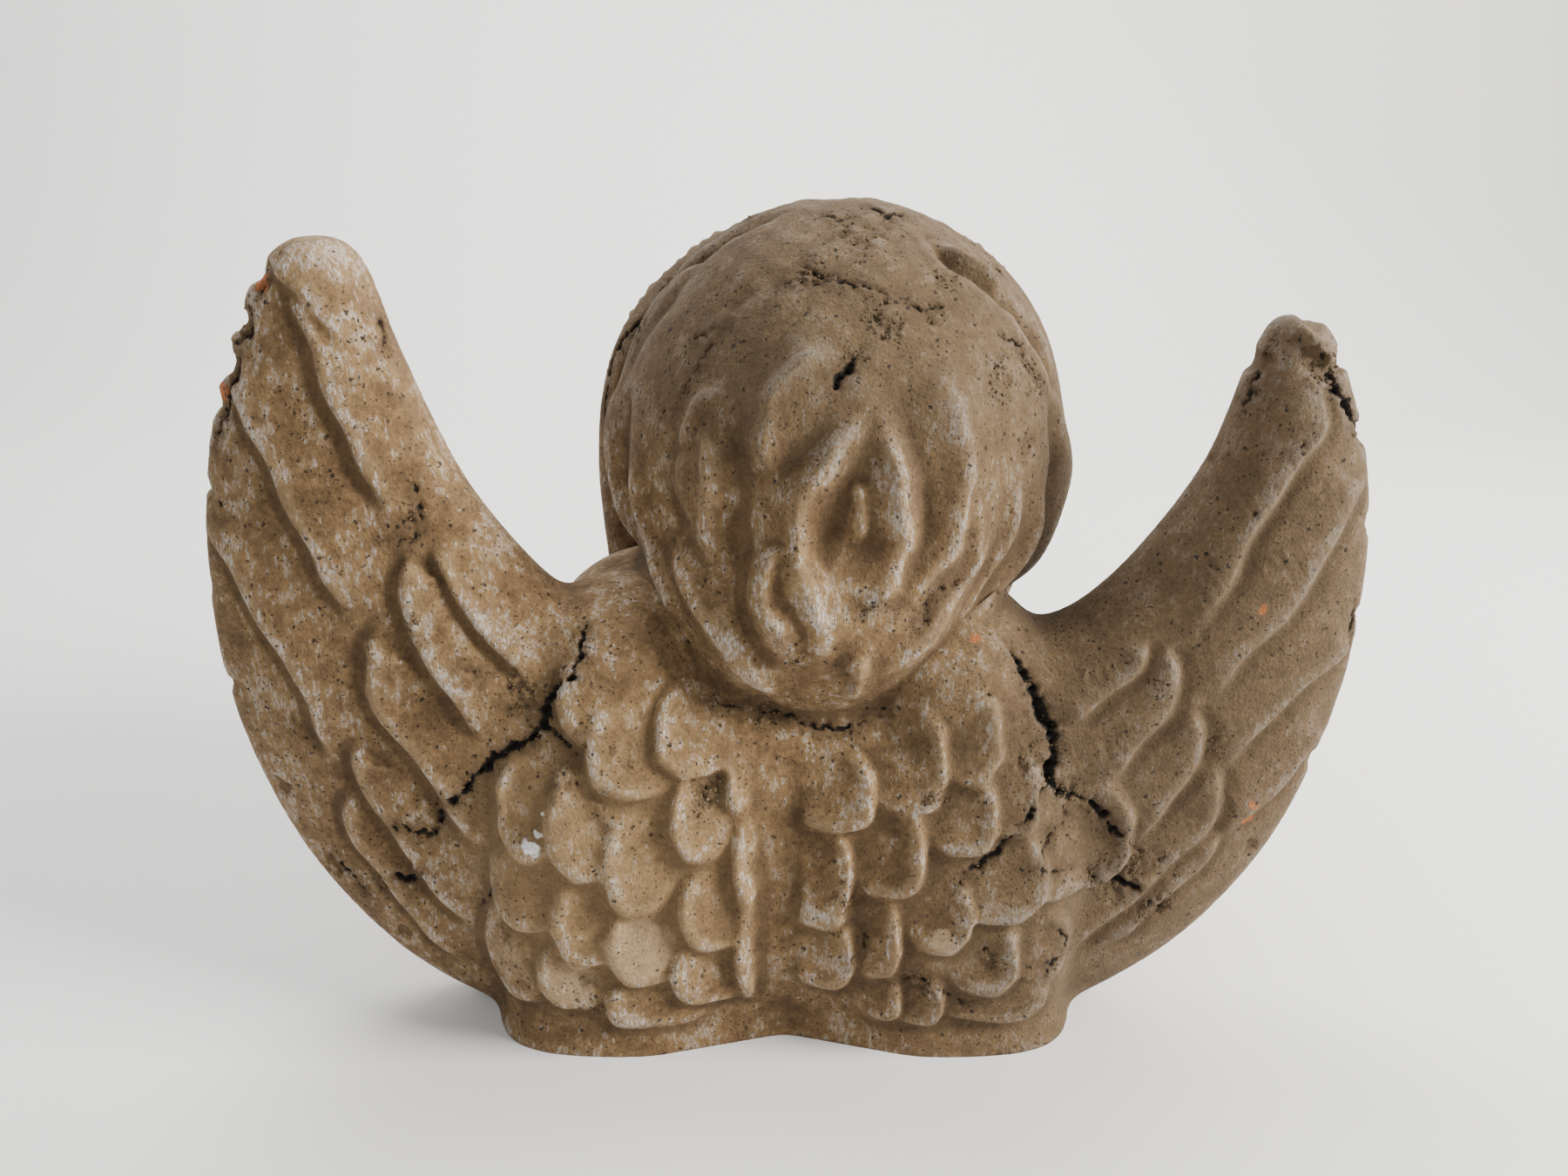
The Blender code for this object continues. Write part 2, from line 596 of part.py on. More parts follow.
def regions(place, local):
    """Shares of each point that belong to the head, to the roll of hair and to the face."""
    neck = SHOULDER_HEIGHT - NECK_DROP
    above_neck = smooth(neck - STEP_WIDTH * 2, neck + STEP_WIDTH * 2, place[:, 2])
    nape_shares, nape_radii = HEAD_FORMS["nape"]
    skull = local / np.array(HEAD_RADII)
    nape = (skull - np.array(nape_shares)) / np.array(nape_radii)
    reach = np.minimum(np.linalg.norm(skull, axis=1), np.linalg.norm(nape, axis=1))
    reach = np.where(skull[:, 1] < -0.44, 1.0, reach)
    on_head = (1.0 - smooth(1.03, 1.10, reach)) * above_neck
    gap, _, _ = line_distance(local, roll_line(24))
    on_roll = (1.0 - smooth(1.18 * ROLL_THICK, 1.43 * ROLL_THICK, gap)) * above_neck
    on_roll = on_roll * smooth(0.05, -0.13, skull[:, 1])
    on_face = smooth(-0.57, -0.76, skull[:, 1]) * (1.0 - on_roll)
    return on_head, on_roll, on_face


def carve(thing):
    """Move the skin out and in along its own normals, by the carving of each region."""
    mesh = thing.data
    count = len(mesh.vertices)
    place = np.empty(count * 3)
    mesh.vertices.foreach_get("co", place)
    place = place.reshape(-1, 3)
    facing = np.empty(count * 3)
    mesh.vertices.foreach_get("normal", facing)
    facing = facing.reshape(-1, 3)
    local = (place - np.array(HEAD_CENTRE)) @ np.array(head_frame())
    unit = local / np.array(HEAD_RADII)
    unit = unit / np.linalg.norm(unit, axis=1)[:, None]
    on_head, on_roll, on_face = regions(place, local)
    hair = comb_locks(unit) * smooth(-0.45, -0.15, unit[:, 1])
    curls = np.zeros(count)
    curls[on_roll > 0] = curl_relief(local[on_roll > 0])
    height = body_relief(place, facing) * (1.0 - on_head) + hair * on_head
    height = height * (1.0 - on_roll) + curls * on_roll
    height = height + face_relief(local) * on_face
    sideways = SIDEWAYS_SHARE + (1.0 - SIDEWAYS_SHARE) * np.maximum(on_head, on_roll)
    way = facing * np.column_stack([sideways, np.ones(count), sideways])
    place = place + way * height[:, None]
    mesh.vertices.foreach_set("co", place.ravel())
    mesh.update()


def thin_out(thing, triangles):
    """Keep the triangles where the form turns and drop them where it is even."""
    net = bmesh.new()
    net.from_mesh(thing.data)
    bmesh.ops.triangulate(net, faces=net.faces)
    net.to_mesh(thing.data)
    net.free()
    fewer = thing.modifiers.new("thin out", 'DECIMATE')
    fewer.ratio = min(1.0, triangles / len(thing.data.polygons))
    bake(thing)


def cut_flat(thing):
    """Cut the underside off level at height zero."""
    net = bmesh.new()
    net.from_mesh(thing.data)
    everything = list(net.verts) + list(net.edges) + list(net.faces)
    bmesh.ops.bisect_plane(net, geom=everything, plane_co=(0.0, 0.0, 0.0), plane_no=(0.0, 0.0, 1.0),
                           clear_inner=True)
    rim = [edge for edge in net.edges if edge.is_boundary]
    bmesh.ops.contextual_create(net, geom=rim)
    for vertex in net.verts:
        if abs(vertex.co.z) < 1e-5:
            vertex.co.z = 0.0
    bmesh.ops.triangulate(net, faces=[face for face in net.faces if len(face.verts) > 3])
    net.to_mesh(thing.data)
    net.free()


def cement():
    """Weathered cement: warm grey-brown and quite matt."""
    material = bpy.data.materials.new("cement")
    material.use_nodes = True
    shader = material.node_tree.nodes["Principled BSDF"]
    shader.inputs["Base Color"].default_value = (0.36, 0.27, 0.18, 1.0)
    shader.inputs["Roughness"].default_value = 0.92
    shader.inputs["Metallic"].default_value = 0.0
    return material


def build():
    """The whole casting, as one closed body."""
    for thing in list(bpy.data.objects):
        bpy.data.objects.remove(thing)
    collection = bpy.data.collections.new("cement angel head")
    bpy.context.scene.collection.children.link(collection)
    soft = [build_block(collection)]
    soft += build_blades(collection)
    soft.append(build_wing("left_wing", 1, LEFT_LEADING, LEFT_TRAILING, collection))
    soft.append(build_wing("right_wing", -1, RIGHT_LEADING, RIGHT_TRAILING, collection))
    body = join("body", soft, collection)
    soften(body, ROUGH_GRID, BODY_EASE)
    head = join("head", build_head(collection), collection)
    soften(head, ROUGH_GRID, HEAD_EASE)
    face = join("face", head_balls(FACE_FORMS, collection), collection)
    casting = join("angel_head", [body, head, face], collection)
    soften(casting, FINE_GRID, CASTING_EASE)
    carve(casting)
    thin_out(casting, TRIANGLES)
    cut_flat(casting)
    casting.data.materials.clear()
    casting.data.materials.append(cement())
    casting.data.shade_smooth()
    return casting


if __name__ == "__main__":
    build()
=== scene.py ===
# %% [markdown]
# # A weathered cement angel head
#
# The real thing is one casting: a child's head with curly hair, two raised wings and the block
# that they grow from. It has stood outdoors for years, so the cement is pitted, cracked and
# stained, and remains of white paint cling to the high places.
#
# This script shapes the same casting as the packed solid, on a much finer grid, and dresses it.
# First the packed solid is loaded: it fixes where everything stands, in metres, with +Z up, the
# face along -Y and the feathered back along +Y.

# %% The packed solid
import math

import bmesh
import bpy
import numpy as np
from mathutils import Euler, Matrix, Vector
from mathutils.bvhtree import BVHTree


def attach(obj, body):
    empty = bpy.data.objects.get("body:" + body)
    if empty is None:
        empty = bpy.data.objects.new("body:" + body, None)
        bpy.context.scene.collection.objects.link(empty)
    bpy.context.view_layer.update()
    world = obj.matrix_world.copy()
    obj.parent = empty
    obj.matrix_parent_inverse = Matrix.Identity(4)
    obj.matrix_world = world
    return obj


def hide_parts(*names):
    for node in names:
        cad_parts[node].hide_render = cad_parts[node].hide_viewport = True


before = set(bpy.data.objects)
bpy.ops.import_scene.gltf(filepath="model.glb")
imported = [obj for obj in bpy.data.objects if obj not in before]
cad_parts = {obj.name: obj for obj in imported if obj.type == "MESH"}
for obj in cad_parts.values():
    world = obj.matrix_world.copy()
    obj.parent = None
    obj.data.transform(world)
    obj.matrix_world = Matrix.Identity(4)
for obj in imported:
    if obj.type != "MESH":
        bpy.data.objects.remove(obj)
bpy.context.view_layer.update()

# %% [markdown]
# ## Camera
#
# The piece is seen from behind and a little above. A wide lens at 0.4 m gives the strong
# perspective of a close shot. The camera could be aimed with a constraint, but two angles say the
# same and keep their meaning: how far it looks down, and that it looks along -Y.

# %% Camera
IMAGE_WIDE = 1800
FOCAL_PIXELS = 1352
LOOK_DOWN = 20.3
CAMERA_PLACE = (0.0, 0.3575, 0.269)

camera_data = bpy.data.cameras.new("camera")
camera_data.sensor_width = 36.0
camera_data.lens = camera_data.sensor_width * FOCAL_PIXELS / IMAGE_WIDE
camera_data.clip_start = 0.01
camera = bpy.data.objects.new("camera", camera_data)
camera.location = CAMERA_PLACE
camera.rotation_euler = (math.radians(90.0 - LOOK_DOWN), 0.0, math.pi)
bpy.context.scene.collection.objects.link(camera)
bpy.context.scene.camera = camera
print("lens", round(camera_data.lens, 2), "mm")

# %% [markdown]
# ## Floor and light
#
# The floor is one pale sheet that sweeps up behind the piece, as a photographer's paper roll does,
# so no horizon line cuts through the wings. The sweep is a curve of few points, drawn in side
# view and made wide. Soft light comes from a large window on the right, and the pale room
# fills the shadows.

# %% Floor
FLOOR_HALF = 2.5
SWEEP_START = -0.85
SWEEP_RADIUS = 0.5
SWEEP_STEPS = 12
PAPER_COLOR = (0.78, 0.77, 0.76, 1.0)
PAPER_ROUGHNESS = 0.75


def make_floor():
    """A level sheet that bends up behind the piece."""
    bend = [(SWEEP_START - SWEEP_RADIUS * math.sin(turn), SWEEP_RADIUS * (1.0 - math.cos(turn)))
            for turn in np.linspace(0.0, math.pi / 2, SWEEP_STEPS)]
    side_view = [(FLOOR_HALF, 0.0)] + bend + [(SWEEP_START - SWEEP_RADIUS, FLOOR_HALF)]
    net = bmesh.new()
    rows = [[net.verts.new((x, y, z)) for y, z in side_view] for x in (-FLOOR_HALF, FLOOR_HALF)]
    for index in range(len(side_view) - 1):
        net.faces.new((rows[0][index], rows[0][index + 1], rows[1][index + 1], rows[1][index]))
    mesh = bpy.data.meshes.new("floor")
    bmesh.ops.recalc_face_normals(net, faces=net.faces)
    for face in net.faces:
        face.smooth = True
    net.to_mesh(mesh)
    net.free()
    floor = bpy.data.objects.new("floor", mesh)
    bpy.context.scene.collection.objects.link(floor)
    paper = bpy.data.materials.new("pale paper")
    paper.use_nodes = True
    shader = paper.node_tree.nodes["Principled BSDF"]
    shader.inputs["Base Color"].default_value = PAPER_COLOR
    shader.inputs["Roughness"].default_value = PAPER_ROUGHNESS
    mesh.materials.append(paper)
    return floor


floor = make_floor()
print("floor points:", len(floor.data.vertices))

# %% Light
MIDDLE = (0.0, 0.0, 0.12)
# Each light's name, its place, the point it faces, then its size in metres, its watts and its tint
WINDOWS = [
    ("window", (-1.30, 0.36, 0.82), MIDDLE, 0.55, 62.0, (1.0, 0.975, 0.93)),
    ("room", (0.80, 0.80, 0.90), MIDDLE, 1.2, 5.5, (0.93, 0.97, 1.0)),
    ("front", (-0.6, -0.8, 0.9), MIDDLE, 0.9, 5.0, (1.0, 0.98, 0.95)),
    ("backdrop", (0.35, -0.55, 1.5), (0.15, -1.35, 0.5), 0.9, 36.0, (1.0, 0.99, 0.97)),
]
ROOM_COLOR = (0.80, 0.84, 0.88, 1.0)
ROOM_STRENGTH = 0.42


def add_window(name, place, aim, size, watts, tint):
    """A square soft light at a place, turned to a point."""
    data = bpy.data.lights.new(name, 'AREA')
    data.energy = watts
    data.size = size
    data.color = tint
    light = bpy.data.objects.new(name, data)
    light.location = place
    light.rotation_euler = (Vector(aim) - Vector(place)).to_track_quat('-Z', 'Y').to_euler()
    bpy.context.scene.collection.objects.link(light)


for window in WINDOWS:
    add_window(*window)

world = bpy.data.worlds.new("room")
bpy.context.scene.world = world
world.use_nodes = True
background = world.node_tree.nodes["Background"]
background.inputs["Color"].default_value = ROOM_COLOR
background.inputs["Strength"].default_value = ROOM_STRENGTH

# %% [markdown]
# ## Sizes
#
# These are the casting's own sizes, the same as the solid's: the span over both wings, the height,
# the block and the head. Outlines are shares of the span and the height, so the piece keeps its
# form when those change.

# %% Sizes of the block and the head
SPAN = 0.340
HEIGHT = 0.256
BASE_WIDTH = 0.192
BASE_DEPTH = 0.118
BASE_BACK = 0.060
SHOULDER_HEIGHT = 0.147
SPINE_X = 0.002

HEAD_RADII = np.array((0.0735, 0.0790, 0.0760))
HEAD_CENTRE = np.array((-0.0175, -0.0270, HEIGHT - HEAD_RADII[2]))
HEAD_LEAN = -4.0
HEAD_AXES = np.array(Euler((0.0, math.radians(HEAD_LEAN), 0.0)).to_matrix())

ROLL_THICK = 0.0162
ROLL_FORWARD = 0.0300
ROLL_POINTS = 40
ROLL_STEPS = 24
ROLL_LINE = [(0.840, -0.842), (0.920, -0.224), (0.840, 0.263), (0.503, 0.612), (0.027, 0.730),
             (-0.490, 0.655), (-0.825, 0.290), (-0.870, -0.224), (-0.735, -0.842)]
print("head stands", round(HEAD_CENTRE[2], 4), "m high, radii", HEAD_RADII)

# %% [markdown]
# ## Tools for smooth lines
#
# Every outline starts as a few points that a curve runs through. A Catmull-Rom curve passes
# through its points, which makes such lists easy to read off a drawing, and points at even
# distances along it give tidy meshes.

# %% Easing and curves
FINE_STEPS = 16


def smooth(low, high, value):
    """Ease from 0 at low to 1 at high."""
    share = np.clip((value - low) / (high - low), 0.0, 1.0)
    return share * share * (3.0 - 2.0 * share)


def fade(along, grown, fading, margin=0.0):
    """Grow from 0 to 1 at the start of a line and fade to 0 at its end; a margin softens both ends."""
    return smooth(-margin, grown, along) * (1.0 - smooth(fading, 1.0 + margin, along))


def bell(distance, reach):
    """A smooth bump: 1 in the middle, a third at the reach and nearly 0 at twice the reach."""
    return np.exp(-(distance / reach) ** 2)


def curve(points, count):
    """Points along a smooth curve through the given points, evenly spaced along it."""
    nodes = np.array(points, dtype=float)
    ends = np.vstack([2 * nodes[0] - nodes[1], nodes, 2 * nodes[-1] - nodes[-2]])
    fine = []
    for index in range(len(nodes) - 1):
        a, b, c, d = ends[index:index + 4]
        for step in np.linspace(0.0, 1.0, FINE_STEPS, endpoint=False):
            fine.append(0.5 * (2 * b + (c - a) * step + (2 * a - 5 * b + 4 * c - d) * step ** 2
                               + (3 * b - a - 3 * c + d) * step ** 3))
    fine.append(nodes[-1])
    fine = np.array(fine)
    run = np.concatenate([[0.0], np.cumsum(np.linalg.norm(np.diff(fine, axis=0), axis=1))])
    at = np.linspace(0.0, run[-1], count)
    return np.column_stack([np.interp(at, run, fine[:, axis]) for axis in range(fine.shape[1])])


def blunt(value, power):
    """A sine or cosine made squarer by a power below 1, with its sign kept."""
    return math.copysign(abs(value) ** power, value)


def wing_line(points, side, count):
    """A wing outline in metres, as X and Z, on the side given by +1 or -1."""
    return curve([(side * out * SPAN / 2, up * HEIGHT) for out, up in points], count)


def head_point(local):
    """A place given from the head's centre, in the world."""
    return HEAD_CENTRE + HEAD_AXES @ np.array(local)


def roll_line(count):
    """The middle of the roll of hair round the face, in the head's axes."""
    line = curve([(x * HEAD_RADII[0], z * HEAD_RADII[2]) for x, z in ROLL_LINE], count)
    return np.column_stack([line[:, 0], np.full(count, -ROLL_FORWARD), line[:, 1]])


print("roll of hair, length:", round(float(np.linalg.norm(np.diff(roll_line(60), axis=0), axis=1).sum()), 3))

# %% [markdown]
# ## Soft clay forms
#
# A modeller would press lumps of clay together and smooth the joints. Three kinds of lump are
# enough here: a loft over rings for the block and the wings, eggs for the head, and a bent bar
# for the roll of hair.

# %% Lofts, eggs and bars
EGG_SEGMENTS = 48
EGG_RINGS = 28
BAR_ROUNDNESS = 6
WELD_REACH = 0.00001


def object_from(net, name):
    """An object in the scene from a bmesh, which is then freed."""
    mesh = bpy.data.meshes.new(name)
    net.to_mesh(mesh)
    net.free()
    thing = bpy.data.objects.new(name, mesh)
    bpy.context.scene.collection.objects.link(thing)
    return thing


def loft(name, rings):
    """A closed skin over rings of equal point counts, with a flat cap at both ends."""
    net = bmesh.new()
    rows = [[net.verts.new(point) for point in ring] for ring in rings]
    for low, high in zip(rows, rows[1:]):
        for index in range(len(low)):
            after = (index + 1) % len(low)
            net.faces.new((low[index], low[after], high[after], high[index]))
    net.faces.new(list(reversed(rows[0])))
    net.faces.new(rows[-1])
    bmesh.ops.recalc_face_normals(net, faces=net.faces)
    return object_from(net, name)


def egg(name, centre, radii, lean=0.0):
    """An egg with the given centre and radii, leaning to the side by an angle."""
    net = bmesh.new()
    bmesh.ops.create_uvsphere(net, u_segments=EGG_SEGMENTS, v_segments=EGG_RINGS, radius=1.0)
    thing = object_from(net, name)
    thing.location = centre
    thing.rotation_euler = (0.0, math.radians(lean), 0.0)
    thing.scale = radii
    return thing


def bar(name, line, radius):
    """A round closed bar along a line of points."""
    shape = bpy.data.curves.new(name, 'CURVE')
    shape.dimensions = '3D'
    shape.bevel_depth = radius
    shape.bevel_resolution = BAR_ROUNDNESS
    shape.use_fill_caps = True
    spline = shape.splines.new('POLY')
    spline.points.add(len(line) - 1)
    for point, place in zip(spline.points, line):
        point.co = (*place, 1.0)
    bent = bpy.data.objects.new(name, shape)
    bpy.context.scene.collection.objects.link(bent)
    seen = bent.evaluated_get(bpy.context.evaluated_depsgraph_get())
    mesh = bpy.data.meshes.new_from_object(seen)
    bpy.data.objects.remove(bent)
    net = bmesh.new()
    net.from_mesh(mesh)
    bpy.data.meshes.remove(mesh)
    bmesh.ops.remove_doubles(net, verts=net.verts, dist=WELD_REACH)
    return object_from(net, name)


# %% Fusing
EASE_FACTOR = 0.5


def bake(thing):
    """Make the object's modifiers part of its mesh."""
    seen = thing.evaluated_get(bpy.context.evaluated_depsgraph_get())
    mesh = bpy.data.meshes.new_from_object(seen)
    thing.modifiers.clear()
    thing.data = mesh
    return thing


def join(name, things):
    """One object from many, with their places kept in its mesh."""
    bpy.context.view_layer.update()
    net = bmesh.new()
    for thing in things:
        mesh = thing.data.copy()
        mesh.transform(thing.matrix_world)
        net.from_mesh(mesh)
        bpy.data.meshes.remove(mesh)
        bpy.data.objects.remove(thing)
    return object_from(net, name)


def fuse(thing, grid, rounds):
    """Fuse everything in the object to one skin on a grid, then ease its creases."""
    remesh = thing.modifiers.new("fuse", 'REMESH')
    remesh.mode = 'VOXEL'
    remesh.voxel_size = grid
    ease = thing.modifiers.new("ease", 'SMOOTH')
    ease.factor = EASE_FACTOR
    ease.iterations = rounds
    return bake(thing)


# %% [markdown]
# ## Block and wings
#
# The block is a stack of rounded boxes whose width and depth change with height. Each wing is a
# stack of lens shapes between its leading and its trailing edge, thick at the shoulder and thin
# at the tip. Both follow few numbers, so a loft is the clearest way to make them.

# %% Block
# Height as a share of the shoulders, then the width, back and front there as shares of the foot's
BLOCK_LEVELS = [
    (-0.05, 1.00, 1.00, 1.00), (0.00, 1.00, 1.00, 1.00), (0.08, 0.97, 0.955, 0.98),
    (0.20, 0.985, 1.00, 1.00), (0.45, 0.985, 1.02, 1.02), (0.62, 0.93, 0.97, 1.00),
    (0.76, 0.86, 0.83, 0.94), (0.88, 0.77, 0.60, 0.80), (0.96, 0.60, 0.36, 0.60),
    (1.00, 0.35, 0.16, 0.35),
]
CORNER_WIDE = 0.30
CORNER_DEEP = 0.36
GROOVE_HALF = 0.012
GROOVE_DEPTH = 0.0045
FOOT_HOLLOW = 0.007
FOOT_REACH = 0.25
BLADE_OUT = 0.050
BLADE_DROP = 0.031
BLADE_INSET = 0.006
BLADE_RADII = (0.032, 0.034, 0.032)
BLOCK_RINGS = 40
BLOCK_POINTS = 96


def make_block():
    """The block under the head: a foot with a hollow at the spine, and round shoulders."""
    rings = []
    for height, wide, back, front in curve(BLOCK_LEVELS, BLOCK_RINGS):
        foot = 1.0 - min(max(height / FOOT_REACH, 0.0), 1.0)
        groove = GROOVE_DEPTH + FOOT_HOLLOW * foot
        ring = []
        for angle in np.linspace(0.0, math.tau, BLOCK_POINTS, endpoint=False):
            x = BASE_WIDTH / 2 * wide * blunt(math.cos(angle), CORNER_WIDE)
            reach = BASE_BACK * back if math.sin(angle) > 0 else (BASE_DEPTH - BASE_BACK) * front
            y = reach * blunt(math.sin(angle), CORNER_DEEP)
            if y > 0:
                y -= groove * math.exp(-((x - SPINE_X) / (GROOVE_HALF * (1.0 + foot))) ** 2)
            ring.append((x, y, SHOULDER_HEIGHT * height))
        rings.append(ring)
    return loft("block", rings)


def make_blades():
    """The shoulder blades: round swellings on the back of the block."""
    y = BASE_BACK - BLADE_RADII[1] - BLADE_INSET
    z = SHOULDER_HEIGHT - BLADE_DROP
    return [egg("blade", (side * BLADE_OUT, y, z), BLADE_RADII) for side in (-1, 1)]


# %% Wings
LEFT_LEADING = [(0.24, 0.57), (0.370, 0.558), (0.532, 0.688), (0.628, 0.843), (0.675, 0.945),
                (0.735, 0.977)]
LEFT_TRAILING = [(0.48, -0.04), (0.655, 0.020), (0.790, 0.100), (0.920, 0.235), (1.000, 0.410),
                 (1.010, 0.580), (0.972, 0.740), (0.885, 0.890), (0.805, 0.962), (0.735, 0.977)]
RIGHT_LEADING = [(0.24, 0.54), (0.430, 0.526), (0.562, 0.572), (0.710, 0.710), (0.770, 0.840),
                 (0.815, 0.903)]
RIGHT_TRAILING = [(0.48, -0.04), (0.655, 0.025), (0.805, 0.112), (0.935, 0.250), (1.008, 0.430),
                  (1.018, 0.590), (0.990, 0.720), (0.930, 0.825), (0.875, 0.885), (0.815, 0.903)]
WING_ROOT_THICK = 0.056
WING_TIP_THICK = 0.021
WING_ROOT_SET = 0.034
WING_TIP_SET = 0.033
WING_EDGE = 0.85
WING_FACE = 0.80
WING_THINNING = 0.28
WING_THIN_SHIFT = 0.2
WING_TAPER = 0.7
WING_ROUNDEST = 2.2
WING_RINGS = 40
WING_POINTS = 48


def make_wing(name, side, leading, trailing):
    """A wing: thick and round along its leading edge, thinner where the feathers end."""
    lead = wing_line(leading, side, WING_RINGS)
    trail = wing_line(trailing, side, WING_RINGS)
    rings = []
    for index in range(WING_RINGS - 1):
        share = index / (WING_RINGS - 1)
        middle = (lead[index] + trail[index]) / 2
        chord = (trail[index] - lead[index]) / 2
        thick = WING_ROOT_THICK + (WING_TIP_THICK - WING_ROOT_THICK) * share ** WING_TAPER
        thick = min(thick, WING_ROUNDEST * float(np.linalg.norm(chord)))
        back = BASE_BACK - WING_ROOT_SET + (WING_ROOT_SET - WING_TIP_SET) * share
        ring = []
        for angle in np.linspace(0.0, math.tau, WING_POINTS, endpoint=False):
            across = blunt(math.cos(angle), WING_EDGE)
            deep = blunt(math.sin(angle), WING_FACE) * (1.0 - WING_THINNING * (across + WING_THIN_SHIFT))
            x, z = middle + chord * across
            ring.append((x, back + deep * thick / 2, z))
        rings.append(ring)
    return loft(name, rings)


# %% [markdown]
# ## Head
#
# The head is built from eggs, as a sculptor blocks it out: skull, nape, throat, brow, jaw and
# cheeks, then the small forms of a calm child's face, and a bar for the roll of hair. All places
# are shares of the head's own radii. Fusing on a coarse grid first and a finer one later leaves
# the large forms soft and the small ones clear.

# %% Forms of the head
HEAD_FORMS = {
    "nape": ((0.041, 0.278, -0.474), (0.776, 0.785, 0.684)),
    "throat": ((0.080, 0.190, -0.868), (0.680, 0.582, 0.447)),
    "brow": ((0.0, -0.557, 0.105), (0.680, 0.519, 0.553)),
    "jaw": ((0.0, -0.557, -0.395), (0.571, 0.506, 0.434)),
    "left_cheek": ((0.347, -0.728, -0.400), (0.327, 0.310, 0.289)),
    "right_cheek": ((-0.347, -0.728, -0.400), (0.327, 0.310, 0.289)),
}
FACE_FORMS = {
    "muzzle": ((0.0, -0.835, -0.553), (0.272, 0.228, 0.197)),
    "chin": ((0.0, -0.861, -0.757), (0.224, 0.190, 0.164)),
    "nose_bridge": ((0.0, -1.032, -0.150), (0.084, 0.108, 0.217)),
    "nose_tip": ((0.0, -1.120, -0.316), (0.106, 0.108, 0.086)),
    "left_nostril": ((0.092, -1.070, -0.336), (0.072, 0.080, 0.060)),
    "right_nostril": ((-0.092, -1.070, -0.336), (0.072, 0.080, 0.060)),
    "upper_lip": ((0.0, -1.044, -0.500), (0.175, 0.066, 0.045)),
    "lower_lip": ((0.0, -1.032, -0.583), (0.140, 0.070, 0.050)),
}


def head_eggs(forms):
    """One egg for each of the head's forms."""
    return [egg(name, head_point(np.array(place) * HEAD_RADII), np.array(radii) * HEAD_RADII, HEAD_LEAN)
            for name, (place, radii) in forms.items()]


def make_head():
    """Skull with hair, the forms under it, and the roll of hair that frames the face."""
    skull = egg("skull", HEAD_CENTRE, HEAD_RADII, HEAD_LEAN)
    roll = bar("roll", [head_point(place) for place in roll_line(ROLL_POINTS)], ROLL_THICK)
    return join("head", [skull, roll] + head_eggs(HEAD_FORMS))


# %% Fuse the casting
CLAY_GRID = 0.0026
FACE_GRID = 0.0018
CASTING_GRID = 0.00085
BODY_EASE = 14
HEAD_EASE = 12
FACE_EASE = 5
CASTING_EASE = 16

body = join("body", [make_block(), *make_blades(),
                     make_wing("left_wing", 1, LEFT_LEADING, LEFT_TRAILING),
                     make_wing("right_wing", -1, RIGHT_LEADING, RIGHT_TRAILING)])
fuse(body, CLAY_GRID, BODY_EASE)
head = fuse(make_head(), CLAY_GRID, HEAD_EASE)
head = fuse(join("head", [head, *head_eggs(FACE_FORMS)]), FACE_GRID, FACE_EASE)
casting = fuse(join("casting", [body, head]), CASTING_GRID, CASTING_EASE)
print("points before carving:", len(casting.data.vertices))

# %% [markdown]
# ## Carving
#
# Feathers, scales and locks are low relief: nothing hides behind them. So they can be carved by
# moving each point of the skin along its normal, by a height worked out from where it lies.
# Overlapping feathers are laid like paint strokes, each new one over those before it, and a
# feather is high at its free edge and sinks under the next. A hand-made casting has no straight
# lines, so a drift made of a few random waves bends every line a little.

# %% Distance to a line
DRIFT_WAVES = 7


def line_distance(points, path):
    """For each point, its distance to a path, its share along it and the side that it lies on."""
    best = np.full(len(points), np.inf)
    share = np.zeros(len(points))
    offset = np.zeros(len(points))
    last = len(path) - 1
    for index in range(last):
        start = path[index]
        step = path[index + 1] - start
        length = float(np.linalg.norm(step))
        away = points - start
        along = np.clip(away @ step / length ** 2, 0.0, 1.0)
        gap = away - along[:, None] * step
        far = np.linalg.norm(gap, axis=1)
        near = far < best
        best = np.where(near, far, best)
        share = np.where(near, (index + along) / last, share)
        if points.shape[1] == 2:
            turn = step[0] * away[:, 1] - step[1] * away[:, 0]
            offset = np.where(near, turn / length, offset)
    return best, share, offset


def drift(points, pitch, seed):
    """A smooth random value, mostly from -1 to 1, at each point: waves that run all ways."""
    chance = np.random.default_rng(seed)
    total = np.zeros(len(points))
    for _ in range(DRIFT_WAVES):
        way = chance.normal(size=points.shape[1])
        way = way * math.tau / (np.linalg.norm(way) * pitch * chance.uniform(0.7, 1.7))
        total += np.sin(points @ way + chance.uniform(0.0, math.tau))
    return total / math.sqrt(DRIFT_WAVES)


def wander(points, pitch, seeds):
    """A random move at each point, with one drift for each axis."""
    return np.column_stack([drift(points, pitch, seed) for seed in seeds])


# %% Feathers
MM = 0.001
FEATHER_RELIEF = 0.0030
FEATHER_STEP = 0.0036
GROOVE_RELIEF = 0.0009
GROOVE_REACH = 0.0024
BARB_RELIEF = 0.00016
BARB_PITCH = 0.0036
WANDER = 0.0004
WANDER_PITCH = 0.015
BARB_RUN = 0.010
BARB_SLANT = 0.55
BARB_PATCHES = 0.022
FEATHER_SLOPE = 0.90
EDGE_POINTS = 22
END_REACH = 0.005
